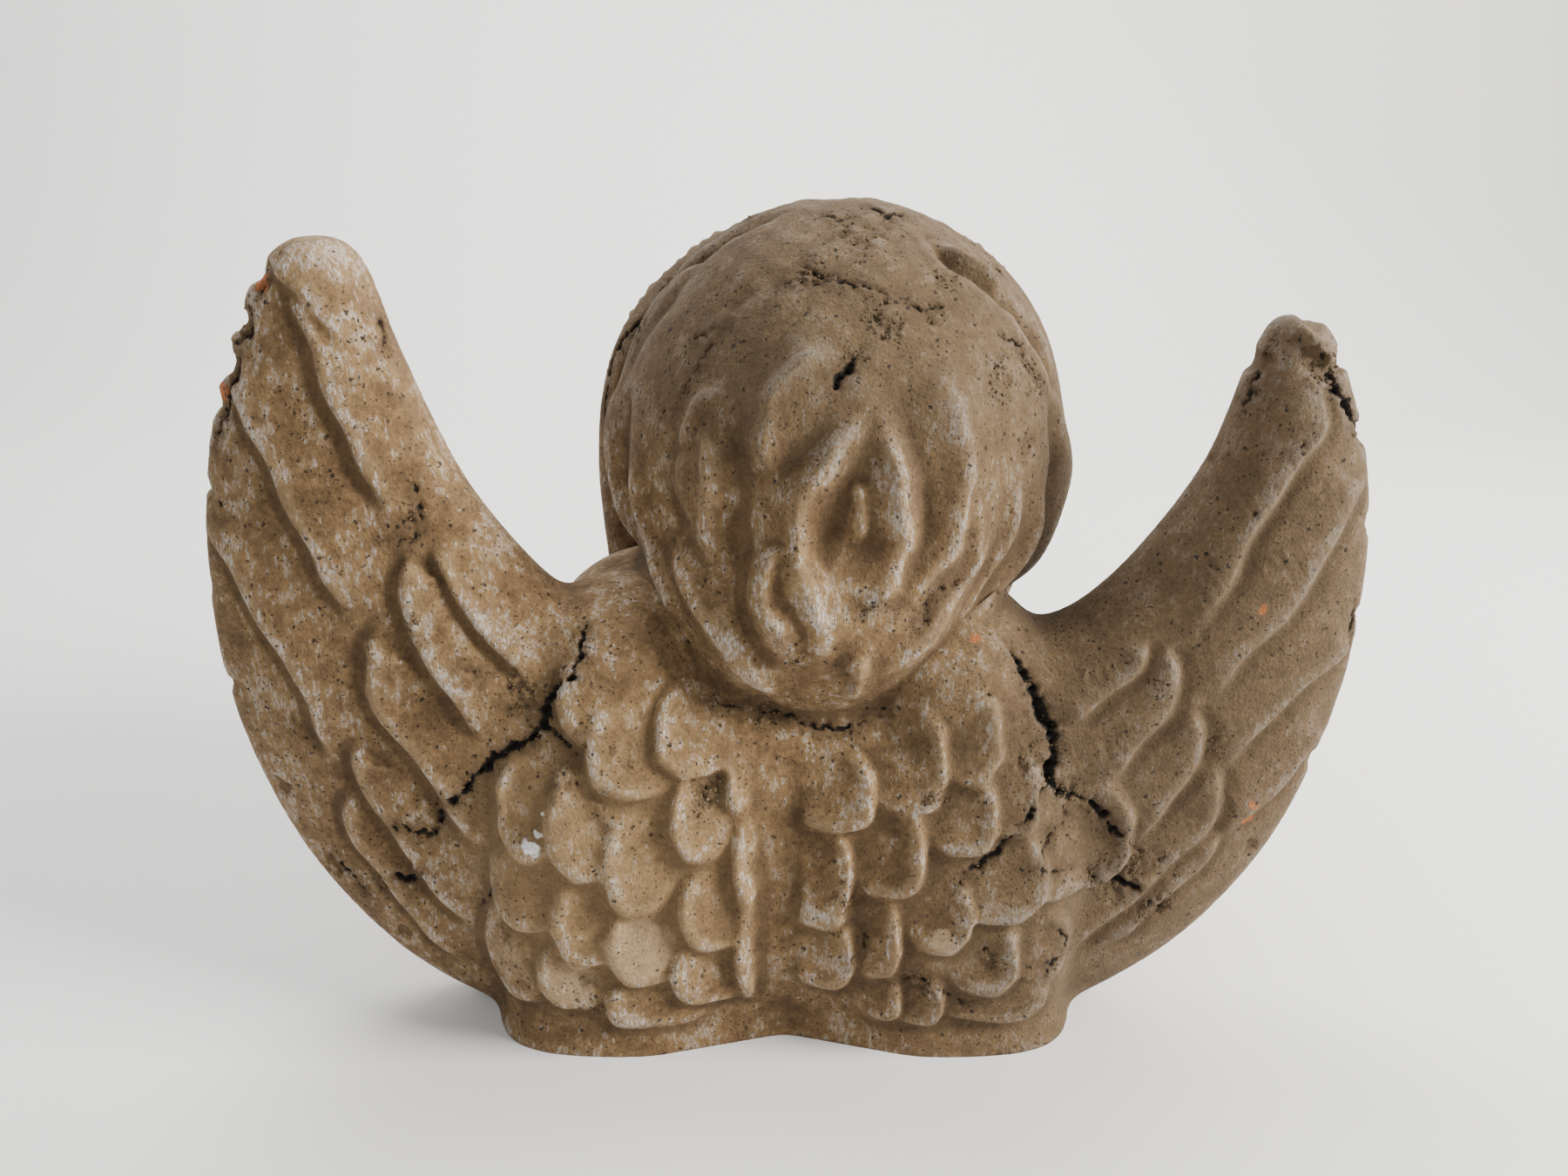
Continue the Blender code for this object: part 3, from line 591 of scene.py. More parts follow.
# Free edges of the feathers from tip to root, the outer ones first: how far each feather reaches
# inwards, then millimetres out from the middle and up
LEFT_EDGES = [
    (22, [(170, 168), (162, 159), (157, 149), (152, 137), (146, 127), (142, 116), (139, 103), (135, 91)]),
    (24, [(156, 214), (148, 198), (141, 180), (138, 172), (132, 159), (126, 145), (122, 138)]),
    (27, [(133, 236), (128, 223), (124, 207), (118, 190), (114, 181), (112, 170)]),
    (15, [(137, 241), (128, 233), (125, 229), (120, 224), (116, 219)]),
    (15, [(131, 90), (136, 80), (136, 72), (131, 62), (122, 45), (111, 27), (99, 18)]),
    (20, [(124, 107), (130, 100), (128, 86), (122, 75), (112, 56), (104, 43), (96, 34)]),
    (19, [(114, 142), (120, 137), (121, 131), (122, 122), (120, 113), (109, 98), (97, 74), (89, 67)]),
    (18, [(104, 164), (108, 160), (109, 151), (106, 136), (97, 120), (86, 104)]),
    (13, [(101, 165), (92, 147), (86, 138), (79, 130), (73, 122)]),
]
RIGHT_EDGES = [
    (20, [(168, 104), (160, 95), (156, 87), (151, 82), (145, 77), (136, 68)]),
    (23, [(172, 132), (165, 127), (154, 119), (142, 107), (132, 93)]),
    (24, [(168, 184), (161, 174), (155, 161), (147, 145), (136, 133), (129, 123), (124, 114)]),
    (25, [(145, 216), (148, 204), (148, 195), (139, 181), (131, 165), (124, 147), (114, 135)]),
    (12, [(150, 213), (144, 218), (138, 223), (132, 218), (129, 207)]),
    (14, [(136, 73), (131, 58), (120, 47), (110, 34), (97, 26)]),
    (13, [(118, 58), (109, 47), (96, 34), (88, 27)]),
    (16, [(130, 97), (133, 88), (132, 75), (123, 64), (114, 53)]),
    (17, [(119, 117), (124, 110), (125, 102), (120, 90), (112, 76), (106, 69)]),
    (18, [(111, 137), (115, 128), (113, 115), (104, 103), (96, 88)]),
    (14, [(106, 137), (103, 127), (92, 118), (82, 109)]),
]


def lay_feathers(height, plane, edges, side):
    """Lay feathers over one another: each is high along its free edge, with a groove outside it."""
    flat = plane * (side, 1.0)
    bent = flat + WANDER * wander(flat, WANDER_PITCH, (3, 4))
    for number, (reach, places) in enumerate(edges):
        path = curve(places, EDGE_POINTS) * MM
        distance, along, offset = line_distance(bent, path)
        inner = -offset
        beyond = np.sqrt(np.clip(distance ** 2 - offset ** 2, 0.0, None))
        ends = (1.0 - smooth(0.0, END_REACH, beyond)) * fade(along, 0.12, 0.74)
        inwards = np.clip(inner / (reach * MM), 0.0, 1.0)
        rise = FEATHER_RELIEF * (1.0 - FEATHER_SLOPE * smooth(-0.1, 0.95, inwards))
        # Barbs slant back from the free edge, and show only here and there
        slant = along * len(places) * BARB_RUN + BARB_SLANT * inner
        patches = smooth(0.2, 0.9, drift(flat, BARB_PATCHES, 20 + number))
        rise = rise + BARB_RELIEF * np.sin(math.tau * slant / BARB_PITCH) * patches
        weight = smooth(-0.4 * FEATHER_STEP, 0.6 * FEATHER_STEP, inner)
        weight = weight * (1.0 - smooth(0.75, 1.0, inwards)) * ends
        height = height * (1.0 - weight) + rise * weight
        height = height - GROOVE_RELIEF * bell(inner + 0.8 * GROOVE_REACH, GROOVE_REACH) * ends
    return height


# %% [markdown]
# Scales cover the back in columns from the spine outwards, and no two are alike. Each is a leaf
# with its own place and size. Its free edge faces down and outwards, and its root sinks under its
# neighbours. Some have a raised rim round a dished middle. The outer columns are laid first and
# each column from the bottom up, so the inner and the upper ones lie over the rest.

# %% Scales
SCALE_RELIEF = 0.0046
SCALE_STEP = 0.0030
SCALE_POWER = 2.2
SCALE_TURN = math.radians(30.0)
SCALE_GROWTH = 1.12
ROOT_STRETCH = 1.9
ROOT_RISE = 1.25
SCALE_WANDER_PITCH = 0.012
SPINE_HALF = 0.0065
RIM_SHARE = 0.20
# Millimetres out from the middle and up, half the width and the height, how dished it is
LEFT_SCALES = [
    (86, 33, 9, 16, 0.2), (79, 60, 11, 13, 0.3), (77, 86, 9, 14, 0.9), (58, 119, 8, 11, 0.2),
    (66, 31, 10, 12, 0.3), (61, 51, 9, 15, 0.2), (59, 83, 11, 16, 0.2), (44, 19, 12, 10, 0.1),
    (44, 43, 10, 14, 0.1), (45, 70, 9, 15, 0.2), (47, 106, 11, 13, 0.2), (25, 31, 10, 12, 0.1),
    (22, 55, 10, 14, 0.3), (26, 86, 8, 14, 0.2), (27, 110, 11, 12, 0.2), (10, 36, 6, 18, 0.1),
    (11, 69, 5, 18, 0.1), (14, 96, 4, 10, 0.1),
]
RIGHT_SCALES = [
    (91, 73, 15, 16, 0.9), (79, 39, 10, 13, 0.5), (70, 21, 13, 8, 0.3), (66, 66, 13, 14, 0.5),
    (68, 92, 8, 12, 0.6), (64, 37, 8, 13, 0.4), (49, 53, 8, 12, 0.4), (54, 87, 9, 12, 0.5),
    (55, 109, 9, 13, 0.5), (43, 21, 7, 10, 0.4), (29, 44, 7, 15, 0.3), (33, 75, 9, 15, 0.5),
    (38, 102, 10, 14, 0.5), (31, 21, 6, 10, 0.3), (14, 37, 8, 14, 0.3), (12, 66, 9, 17, 0.3),
    (17, 93, 10, 11, 0.4),
]


def lay_scales(height, plane, scales, side):
    """Lay single scales over one another, each a leaf with a steep free edge and a sunk root."""
    flat = plane * (side, 1.0)
    bent = flat + WANDER * wander(flat, SCALE_WANDER_PITCH, (5, 6))
    beside_spine = smooth(SPINE_HALF - 0.001, SPINE_HALF + 0.002, bent[:, 0] - side * SPINE_X)
    for out, up, half_wide, half_tall, dish in scales:
        across = (bent[:, 0] - out * MM) / (SCALE_GROWTH * half_wide * MM)
        along = (bent[:, 1] - up * MM) / (SCALE_GROWTH * half_tall * MM)
        # The root runs on under the neighbours, so the leaf is longer inwards and upwards
        across = np.where(across < 0.0, across / ROOT_STRETCH, across)
        along = np.where(along > 0.0, along / ROOT_RISE, along)
        reach = (np.abs(across) ** SCALE_POWER + np.abs(along) ** SCALE_POWER) ** (1.0 / SCALE_POWER)
        inside = smooth(0.0, SCALE_STEP, (1.0 - reach) * half_wide * MM)
        free = across * math.cos(SCALE_TURN) - along * math.sin(SCALE_TURN)
        dome = 0.12 + 0.88 * smooth(-0.75, 0.60, free) - 0.18 * reach ** 4
        rim = bell(1.0 - RIM_SHARE - reach, RIM_SHARE) * smooth(0.0, 0.6, free)
        dome = dome - dish * 0.45 * (1.0 - smooth(0.30, 0.80, reach)) + dish * 0.12 * rim
        weight = inside * smooth(-0.95, -0.35, free) * beside_spine
        height = height * (1.0 - weight) + SCALE_RELIEF * dome * weight
    return height


# %% [markdown]
# The hair at the back falls in a few wavy locks, like ropes of clay pressed onto the skull. Each
# crest is a line in longitude and latitude, so that it stays on the skull whatever its size, and
# a few valleys are pressed between the crests. Crests fade at their ends, where a finger would
# have smoothed the clay.

# %% Locks of hair
LOCK_RELIEF = 0.0055
VALLEY_RELIEF = 0.0024
VALLEY_HALF = 0.0050
# Half the width in millimetres and the height as a share, then the crest's line
CRESTS = [
    (4.2, 1.0, [(-5, 24), (3, 12), (8, 4), (11, -5), (10, -13), (6, -19), (4, -24), (6, -32)]),
    (3.6, 1.1, [(-3, 19), (-8, 11), (-10, 0), (-12, -9), (-8, -17), (-2, -22)]),
    (5.4, 1.0, [(-12, 29), (-19, 25), (-24, 12), (-25, -1), (-22, -11), (-15, -19), (-9, -25)]),
    (3.8, 0.9, [(-28, 6), (-30, -4), (-30, -13), (-23, -22), (-16, -30), (-8, -36)]),
    (2.0, 0.5, [(-1, 7), (-3, -1), (-2, -9)]),
    (4.0, 0.8, [(4, 31), (12, 27), (18, 19), (19, 10), (16, 2)]),
    (3.4, 0.9, [(34, 13), (31, 4), (31, -8), (29, -18)]),
    (3.6, 0.9, [(42, -14), (36, -20), (27, -26), (20, -33), (12, -39)]),
    (2.6, 0.8, [(28, -21), (22, -27), (15, -35), (9, -39)]),
    (3.4, 0.9, [(11, -8), (15, -14), (15, -20), (12, -25), (7, -30)]),
    (4.2, 0.7, [(56, 4), (56, -8), (50, -20), (40, -28), (30, -36)]),
    (4.0, 0.8, [(-50, 4), (-53, -8), (-44, -22), (-30, -31), (-18, -38)]),
    (2.6, 0.7, [(-3, -27), (-6, -33), (-4, -39)]),
    (3.0, 0.6, [(-40, 8), (-42, -6), (-36, -18), (-24, -28)]),
    (1.6, 0.5, [(33, 22), (38, 14), (43, 5)]),
    (4.6, 0.7, [(74, 18), (76, 2), (72, -14), (64, -28)]),
    (4.6, 0.7, [(-68, 16), (-72, 0), (-68, -18), (-58, -30)]),
    (2.2, 0.7, [(-34, 64), (-45, 55), (-58, 44)]),
]
VALLEYS = [
    [(-5, 20), (3, 15), (9, 9), (14, 2)], [(-5, 10), (3, 0), (6, -10), (4, -19)],
    [(-10, 24), (-11, 10), (-15, -2), (-15, -12), (-8, -19)], [(-27, 14), (-27, 0), (-27, -10)],
    [(24, 22), (24, 8), (23, -8), (20, -20), (12, -32)], [(44, 12), (44, -6), (38, -14)],
    [(-62, 24), (-62, 4), (-60, -14)], [(66, 14), (66, -4), (58, -22)],
]
# How deep each crease is as a share, then its line
CREASES = [
    (1.0, [(100, -4), (100, 14), (99, 30), (84, 44), (70, 58), (45, 72)]),
    (1.0, [(-36, 68), (-40, 54), (-58, 40), (-72, 14)]),
    (0.4, [(74, 8), (70, 28), (68, 40), (76, 58), (58, 72)]), (0.3, [(44, 34), (30, 45), (12, 53)]),
]
LOCK_SPREAD = 1.28
LOCK_BLEND = 3.0
CROWN_LUMPS = 0.0005
CREASE_DEPTH = 0.0042
CREASE_HALF = 0.0032
LOCK_WANDER = 0.012
LOCK_WANDER_PITCH = 0.22
LOCK_POWER = 1.35
CREST_POINTS = 20
CREASE_POINTS = 24
LOCK_SEED = 9


def sphere_point(longitude, latitude):
    """A unit vector in the head's axes: longitude 0 is straight back and grows to the figure's left."""
    east = math.radians(longitude)
    north = math.radians(latitude)
    return np.array([math.sin(east) * math.cos(north), math.cos(east) * math.cos(north), math.sin(north)])


def sphere_line(places, count):
    """A smooth line on the unit sphere through places given in longitude and latitude."""
    return curve([sphere_point(*place) for place in places], count)


def comb_locks(unit):
    """Height of the wavy locks on the back of the head, of the valleys and of the crown's creases."""
    radius = sum(HEAD_RADII) / 3
    bent = unit + LOCK_WANDER * wander(unit, LOCK_WANDER_PITCH, range(LOCK_SEED, LOCK_SEED + 3))
    crests = np.zeros(len(unit))
    valleys = np.zeros(len(unit))
    for half, share, places in CRESTS:
        distance, along, _ = line_distance(bent, sphere_line(places, CREST_POINTS))
        bump = np.exp(-np.abs(distance * radius / (LOCK_SPREAD * half * MM)) ** LOCK_POWER)
        crest = LOCK_RELIEF * share * bump * fade(along, 0.30, 0.70, 0.02)
        # Where two crests meet, the sum of their powers rounds the joint
        crests = (crests ** LOCK_BLEND + crest ** LOCK_BLEND) ** (1.0 / LOCK_BLEND)
    for places in VALLEYS:
        distance, along, _ = line_distance(bent, sphere_line(places, CREST_POINTS))
        valley = VALLEY_RELIEF * fade(along, 0.25, 0.75, 0.02) * bell(distance * radius, VALLEY_HALF)
        valleys = np.maximum(valleys, valley)
    height = crests - valleys * (1.0 - 0.7 * smooth(0.0, 0.5 * LOCK_RELIEF, crests))
    lumps = 0.7 * drift(unit, 0.34, LOCK_SEED + 5) + 0.5 * drift(unit, 0.13, LOCK_SEED + 6)
    height = height + CROWN_LUMPS * lumps * smooth(0.1, 0.6, unit[:, 2])
    for share, places in CREASES:
        distance, along, _ = line_distance(bent, sphere_line(places, CREASE_POINTS))
        crease = share * CREASE_DEPTH * fade(along, 0.20, 0.80)
        height = height - crease * bell(distance * radius, CREASE_HALF)
    return height


# %% [markdown]
# The roll of hair round the face is set with curls in two rows. Every point belongs to its
# nearest curl: the gap to the second nearest makes the groove between them, and a spiral winds
# each one to its middle.

# %% Curls
CURL_RELIEF = 0.0034
CURLS = 13
CURL_PITCH = 0.0056
CURL_WANDER = 0.0013
CURL_WANDER_PITCH = 0.016
CURL_SEED = 41
CURL_SET = 0.85
CURL_DOME = 0.83
CURL_TURN = 2.4


def curl_places():
    """Middles of the curls, in two rows along the roll of hair, and the way that each one faces."""
    line = roll_line(2 * CURLS - 1)
    places = []
    ways = []
    # The inner row frames the face and looks forward; the outer one looks away from the head
    for row, outward, forward in ((line[::2], -0.45, -1.0), (line[1::2], 0.80, -0.35)):
        out = row * (1.0, 0.0, 1.0)
        out = out / np.linalg.norm(out, axis=1)[:, None]
        way = out * outward + np.array((0.0, forward, 0.0))
        way = way / np.linalg.norm(way, axis=1)[:, None]
        places.append(row + way * ROLL_THICK * CURL_SET)
        ways.append(way)
    return np.vstack(places), np.vstack(ways)


def curl_relief(local):
    """Height of the curls on the roll of hair: round, parted by grooves, each wound to its middle."""
    centres, ways = curl_places()
    bent = local + CURL_WANDER * wander(local, CURL_WANDER_PITCH, range(CURL_SEED, CURL_SEED + 3))
    away = bent[:, None, :] - centres[None, :, :]
    far = np.linalg.norm(away, axis=2)
    order = np.argsort(far, axis=1)[:, :2]
    rows = np.arange(len(local))
    nearest = order[:, 0]
    first = far[rows, nearest]
    second = far[rows, order[:, 1]]
    mine = away[rows, nearest]
    way = ways[nearest]
    across = np.cross(way, (0.0, 0.0, 1.0))
    across = across / np.linalg.norm(across, axis=1)[:, None]
    upward = np.cross(across, way)
    turn = np.where(nearest % 2 == 0, 1.0, -1.0)
    angle = np.arctan2((mine * upward).sum(axis=1), (mine * across).sum(axis=1) * turn)
    wind = 0.5 + 0.5 * np.cos(angle - math.tau * first / CURL_PITCH + CURL_TURN * nearest)
    edge = smooth(0.0, 0.9 * CURL_PITCH, second - first)
    dome = np.clip(1.0 - (first / (CURL_DOME * ROLL_THICK)) ** 2, 0.0, 1.0)
    middle = smooth(0.1 * CURL_PITCH, 0.55 * CURL_PITCH, first)
    return CURL_RELIEF * (0.45 * edge + 0.35 * dome + 0.40 * wind * edge * middle)


print("curls:", len(curl_places()[0]))

# %% [markdown]
# The face is calm, with lowered lids. Sockets, eyeballs, lash lines and the line between the lips
# are all simple bells and bowls in the plane of the face, as shares of the head's radii.

# %% Face
EYE_OUT = 0.2585
EYE_DROP = 0.079
EYE_WIDE = 0.150
EYE_TALL = 0.103
SOCKET_WIDE = 0.204
SOCKET_TALL = 0.125
LASH_DROP = 0.040
CREASE_RISE = 0.082
BROW_RISE = 0.178
MOUTH_DROP = 0.542
MOUTH_HALF = 0.180
SOCKET_DEPTH = 0.057
EYE_BULGE = 0.071
LASH_DEPTH = 0.022
LASH_HALF = 0.0145
CREASE_CUT = 0.011
CREASE_WIDE = 0.0158
BROW_LIFT = 0.019
BROW_TALL = 0.0395
LIPS_DEPTH = 0.027
LIPS_HALF = 0.0132


def face_relief(local):
    """Height of the lowered lids, the sockets round them and the line between the lips."""
    shares = local / HEAD_RADII
    height = np.zeros(len(local))
    for side in (-1, 1):
        x = shares[:, 0] - side * EYE_OUT
        z = shares[:, 2] + EYE_DROP
        bow = (x / EYE_WIDE) ** 2
        socket = np.exp(-(x / SOCKET_WIDE) ** 2 - (z / SOCKET_TALL) ** 2)
        ball_of_eye = np.sqrt(np.clip(1.0 - bow - (z / EYE_TALL) ** 2, 0.0, 1.0))
        lash = z + LASH_DROP - 0.032 * bow
        crease = z - CREASE_RISE + 0.045 * bow
        brow = z - BROW_RISE + 0.031 * bow
        near = (np.abs(x) < 1.13 * EYE_WIDE) & (np.abs(z) < 1.53 * EYE_TALL)
        height += EYE_BULGE * ball_of_eye - SOCKET_DEPTH * socket
        height -= LASH_DEPTH * bell(lash, LASH_HALF) * near
        height -= CREASE_CUT * bell(crease, CREASE_WIDE) * near
        height += BROW_LIFT * np.exp(-(brow / BROW_TALL) ** 2 - (x / SOCKET_WIDE) ** 4)
    lips = shares[:, 2] + MOUTH_DROP - 0.021 * np.abs(shares[:, 0] / MOUTH_HALF) ** 1.5
    height -= LIPS_DEPTH * np.exp(-(lips / LIPS_HALF) ** 2 - (shares[:, 0] / MOUTH_HALF) ** 6)
    return height * HEAD_RADII[0]


# %% [markdown]
# Now all the carving is put together. Each point knows how much of it belongs to the head, to the
# roll of hair and to the face, and the heights of the regions are blended by those shares. On the
# wings the skin moves mostly along Y, so the outline stays as it is. Last, the wings' thin edges
# lose a few chips, where knocks broke the feathers.

# %% Carve the casting
FRONT_SHARE = 0.7
SIDEWAYS_SHARE = 0.12
PLAIN_BAND = 0.012
NECK_DROP = 0.043
CHIP_WANDER = 0.0012
CHIP_WANDER_PITCH = 0.007
# Millimetres out from the middle on the left or the right, and up, then reach and depth
CHIPS = [
    (140, 238, 6, 1.8), (148, 226, 7, 3.0), (154, 214, 7, 2.6), (159, 203, 5, 1.6), (166, 178, 4, 1.4),
    (172, 150, 4, 1.4), (170, 118, 5, 1.2), (158, 84, 5, 1.4), (144, 55, 5, 1.8), (124, 31, 5, 1.2),
    (-145, 228, 6, 1.6), (-154, 215, 5, 2.2), (-165, 195, 5, 1.6), (-171, 168, 4, 1.4), (-173, 140, 4, 1.2),
    (-165, 92, 5, 1.2), (-131, 214, 4, 1.2), (-120, 186, 4, 0.8), (-148, 62, 4, 1.2),
]


def read_points(mesh, name):
    """An array of the mesh's vertex places or normals."""
    values = np.empty(len(mesh.vertices) * 3)
    mesh.vertices.foreach_get(name, values)
    return values.reshape(-1, 3)


def body_relief(place, facing):
    """Height of the feathers and scales, full on the back and lower on the front."""
    plane = place[:, (0, 2)]
    height = np.zeros(len(place))
    for side, edges, scales in ((1, LEFT_EDGES, LEFT_SCALES), (-1, RIGHT_EDGES, RIGHT_SCALES)):
        mine = side * (place[:, 0] - SPINE_X) > 0
        layer = lay_feathers(np.zeros(mine.sum()), plane[mine], edges, side)
        height[mine] = lay_scales(layer, plane[mine], scales, side)
    back = smooth(0.05, 0.45, facing[:, 1])
    front = FRONT_SHARE * smooth(0.05, 0.45, -facing[:, 1])
    return height * (back + front) * smooth(0.7 * PLAIN_BAND, 1.3 * PLAIN_BAND, place[:, 2])


def regions(place, local):
    """Shares of each point that belong to the head, to the roll of hair and to the face."""
    neck = SHOULDER_HEIGHT - NECK_DROP
    above_neck = smooth(neck - 0.005, neck + 0.005, place[:, 2])
    nape_place, nape_radii = HEAD_FORMS["nape"]
    skull = local / HEAD_RADII
    nape = (skull - np.array(nape_place)) / np.array(nape_radii)
    reach = np.minimum(np.linalg.norm(skull, axis=1), np.linalg.norm(nape, axis=1))
    reach = np.where(skull[:, 1] < -0.44, 1.0, reach)
    on_head = (1.0 - smooth(1.03, 1.10, reach)) * above_neck
    gap, _, _ = line_distance(local, roll_line(ROLL_STEPS))
    on_roll = (1.0 - smooth(1.18 * ROLL_THICK, 1.43 * ROLL_THICK, gap)) * above_neck
    on_roll = on_roll * smooth(-0.30, -0.50, skull[:, 1])
    on_face = smooth(-0.57, -0.76, skull[:, 1]) * (1.0 - on_roll)
    return on_head, on_roll, on_face


def chip_depth(place):
    """How deep the knocks on the wings' edges go at each point."""
    plane = place[:, (0, 2)] + CHIP_WANDER * wander(place, CHIP_WANDER_PITCH, (31, 32))
    depth = np.zeros(len(place))
    for out, up, reach, deep in CHIPS:
        gap = np.linalg.norm(plane - np.array((out, up)) * MM, axis=1) / (reach * MM)
        depth = np.maximum(depth, deep * MM * (1.0 - smooth(0.35, 1.0, gap)))
    return depth


def carve(thing):
    """Move the skin out and in along its own normals, by the carving of each region."""
    mesh = thing.data
    place = read_points(mesh, "co")
    facing = read_points(mesh, "normal")
    local = (place - HEAD_CENTRE) @ HEAD_AXES
    unit = local / HEAD_RADII
    unit = unit / np.linalg.norm(unit, axis=1)[:, None]
    on_head, on_roll, on_face = regions(place, local)
    hair = comb_locks(unit) * smooth(-0.45, -0.15, unit[:, 1])
    curls = np.zeros(len(place))
    curls[on_roll > 0] = curl_relief(local[on_roll > 0])
    curls = curls * smooth(-0.20, -0.55, facing[:, 1])
    height = body_relief(place, facing) * (1.0 - on_head) + hair * on_head
    height = height * (1.0 - on_roll) + curls * on_roll
    height = height + face_relief(local) * on_face
    sideways = SIDEWAYS_SHARE + (1.0 - SIDEWAYS_SHARE) * np.maximum(on_head, on_roll)
    way = facing * np.column_stack([sideways, np.ones(len(place)), sideways])
    move = way * height[:, None] - facing * (chip_depth(place) * (1.0 - on_head))[:, None]
    mesh.vertices.foreach_set("co", (place + move).ravel())
    mesh.update()


carve(casting)
print("carved; highest point:", round(float(read_points(casting.data, "co")[:, 2].max()), 4))

# %% [markdown]
# ## Cement
#
# Old cement is a warm grey brown: dark and brown in the hollows, where dirt stays and painted shade
# is laid, paler where hands and rain polish it, with streaks of old white paint on the raised edges
# and pits where grains of sand fell out, painted black inside as painted shade. A plain colour would
# look like plastic, so the colour is mixed from noises of several sizes and from values that the
# weathering below stores on the skin.
#
# Node trees grow long quickly, so a small helper writes them as sums. A Board is one tree and a
# Wire is one output on it. Adding or multiplying wires adds the maths nodes.

# %% Wires and boards
class Wire:
    """One output of a node, on which arithmetic adds maths nodes to the board."""

    def __init__(self, board, socket):
        self.board = board
        self.socket = socket

    def out(self, name):
        """Another output of the same node."""
        return Wire(self.board, self.socket.node.outputs[name])

    def maths(self, operation, first, second):
        """A maths node on two values, each of them a wire or a number."""
        return self.board.add("ShaderNodeMath", {"operation": operation}, {0: first, 1: second})

    def __add__(self, other):
        return self.maths('ADD', self, other)

    def __sub__(self, other):
        return self.maths('SUBTRACT', self, other)

    def __rsub__(self, other):
        return self.maths('SUBTRACT', other, self)

    def __mul__(self, other):
        return self.maths('MULTIPLY', self, other)

    def __truediv__(self, other):
        return self.maths('DIVIDE', self, other)


class Board:
    """A node tree that grows one node at a time."""

    def __init__(self, tree):
        self.tree = tree

    def add(self, kind, settings=None, values=None):
        """Add a node: its settings first, then a value or a wire for each named or numbered socket."""
        node = self.tree.nodes.new(kind)
        for name, value in (settings or {}).items():
            setattr(node, name, value)
        sockets = [socket for socket in node.inputs if socket.enabled]
        for key, value in (values or {}).items():
            socket = sockets[key] if isinstance(key, int) else next(s for s in sockets if s.name == key)
            if isinstance(value, Wire):
                self.tree.links.new(value.socket, socket)
            else:
                socket.default_value = value
        outputs = [socket for socket in node.outputs if socket.enabled]
        return Wire(self, outputs[0]) if outputs else node

    def noise(self, place, scale, detail=3.0, roughness=0.5):
        """Noise from about 0.3 to 0.7; its scale is in features per metre."""
        return self.add("ShaderNodeTexNoise", {}, {"Vector": place, "Scale": scale, "Detail": detail,
                                                    "Roughness": roughness})

    def ease(self, low, high, value):
        """Ease from 0 at low to 1 at high."""
        return self.add("ShaderNodeMapRange", {"interpolation_type": 'SMOOTHSTEP'},
                        {"Value": value, "From Min": low, "From Max": high})

    def greater(self, first, second):
        """The greater of two values."""
        return self.add("ShaderNodeMath", {"operation": 'MAXIMUM'}, {0: first, 1: second})

    def vector(self, operation, **values):
        """A vector maths node; the values are first, second and scale."""
        keys = {"first": 0, "second": 1, "scale": "Scale"}
        return self.add("ShaderNodeVectorMath", {"operation": operation},
                        {keys[name]: value for name, value in values.items()})

    def shake(self, place, scale, size):
        """Places moved a little at random, so that nothing keeps a straight edge."""
        color = self.noise(place, scale).out("Color")
        centred = self.vector('SUBTRACT', first=color, second=(0.5, 0.5, 0.5))
        return self.vector('ADD', first=place, second=self.vector('SCALE', first=centred, scale=size))

    def mix(self, factor, first, second):
        """A colour between two."""
        return self.add("ShaderNodeMix", {"data_type": 'RGBA'}, {"Factor": factor, "A": first, "B": second})


print("a board can add:", [name for name in vars(Board) if not name.startswith("_")])

# %% [markdown]
# Spots of other colours are few, so each is written out: three scales worn down to fresh cream
# cement, a pale patch, the orange of old rust where something was fixed to the wing, and white
# chips of plaster.
#
# The tone goes on in layers: cloudy brown first, then worn rims and hollows darkened with dirt and
# painted shade, old paint, the grey of rain with painted shade on the crown, painted shade on the
# figure's right side, the spots, and last the black of pits and cracks as painted shade, which no
# other layer covers.

# %% Cement finish
EARTH = (0.090, 0.050, 0.020, 1.0)
SAND = (0.200, 0.122, 0.053, 1.0)
WORN = (0.300, 0.194, 0.092, 1.0)
# The brown of dirt, which also serves as painted shade in the hollows
DIRT_AND_SHADE = (0.050, 0.028, 0.011, 1.0)
PAINT = (0.400, 0.365, 0.325, 1.0)
# A grey brown of rain and crumbling, which also serves as painted shade on the crown and the figure's right
# side
LICHEN_AND_SHADE = (0.078, 0.051, 0.026, 1.0)
# Near black, painted shade inside pits, cracks and holes
SHADE_BLACK = (0.008, 0.006, 0.004, 1.0)
CREAM = (0.400, 0.285, 0.165, 1.0)
RUST = (0.340, 0.095, 0.022, 1.0)
CHALK = (0.800, 0.780, 0.740, 1.0)
# Millimetres out from the middle and up, the reach in millimetres, the colour and its strength
SPOTS = [
    (44, 43, 13, CREAM, 0.45), (66, 30, 10, CREAM, 0.4), (86, 33, 8, CREAM, 0.25), (-48, 47, 5, CREAM, 0.6),
    (157, 207, 4, RUST, 0.9), (141, 236, 3, RUST, 0.9), (-144, 75, 2, RUST, 0.7), (-144, 81, 2, RUST, 0.6),
    (-55, 137, 2, RUST, 0.6), (-137, 147, 1.5, RUST, 0.6), (74, 78, 2.5, CHALK, 0.9),
    (72, 82, 1.5, CHALK, 0.6), (71, 87, 1.2, CHALK, 0.6),
]
# How many cells of pits there are in a metre, a pit's size in its cell, and the least chance of one
PIT_SIZES = ((360.0, 0.30, 0.48), (820.0, 0.40, 0.34))
# The scale, the detail and the roughness of each noise
CLOUDS = (55.0, 3.0)
MOTTLE = (190.0, 4.0, 0.6)
GRAIN = (950.0, 3.0, 0.7)
STREAKS = (620.0, 3.0, 0.6)
SPECKS = (480.0, 3.0, 0.6)
FLAKES = (1500.0, 3.0, 0.6)
STREAK_STRETCH = (1.0, 1.0, 0.32)
PALE_PLACE = (0.055, 0.050, 0.070)
CROWN_PLACE = (-0.018, -0.01, 0.200)
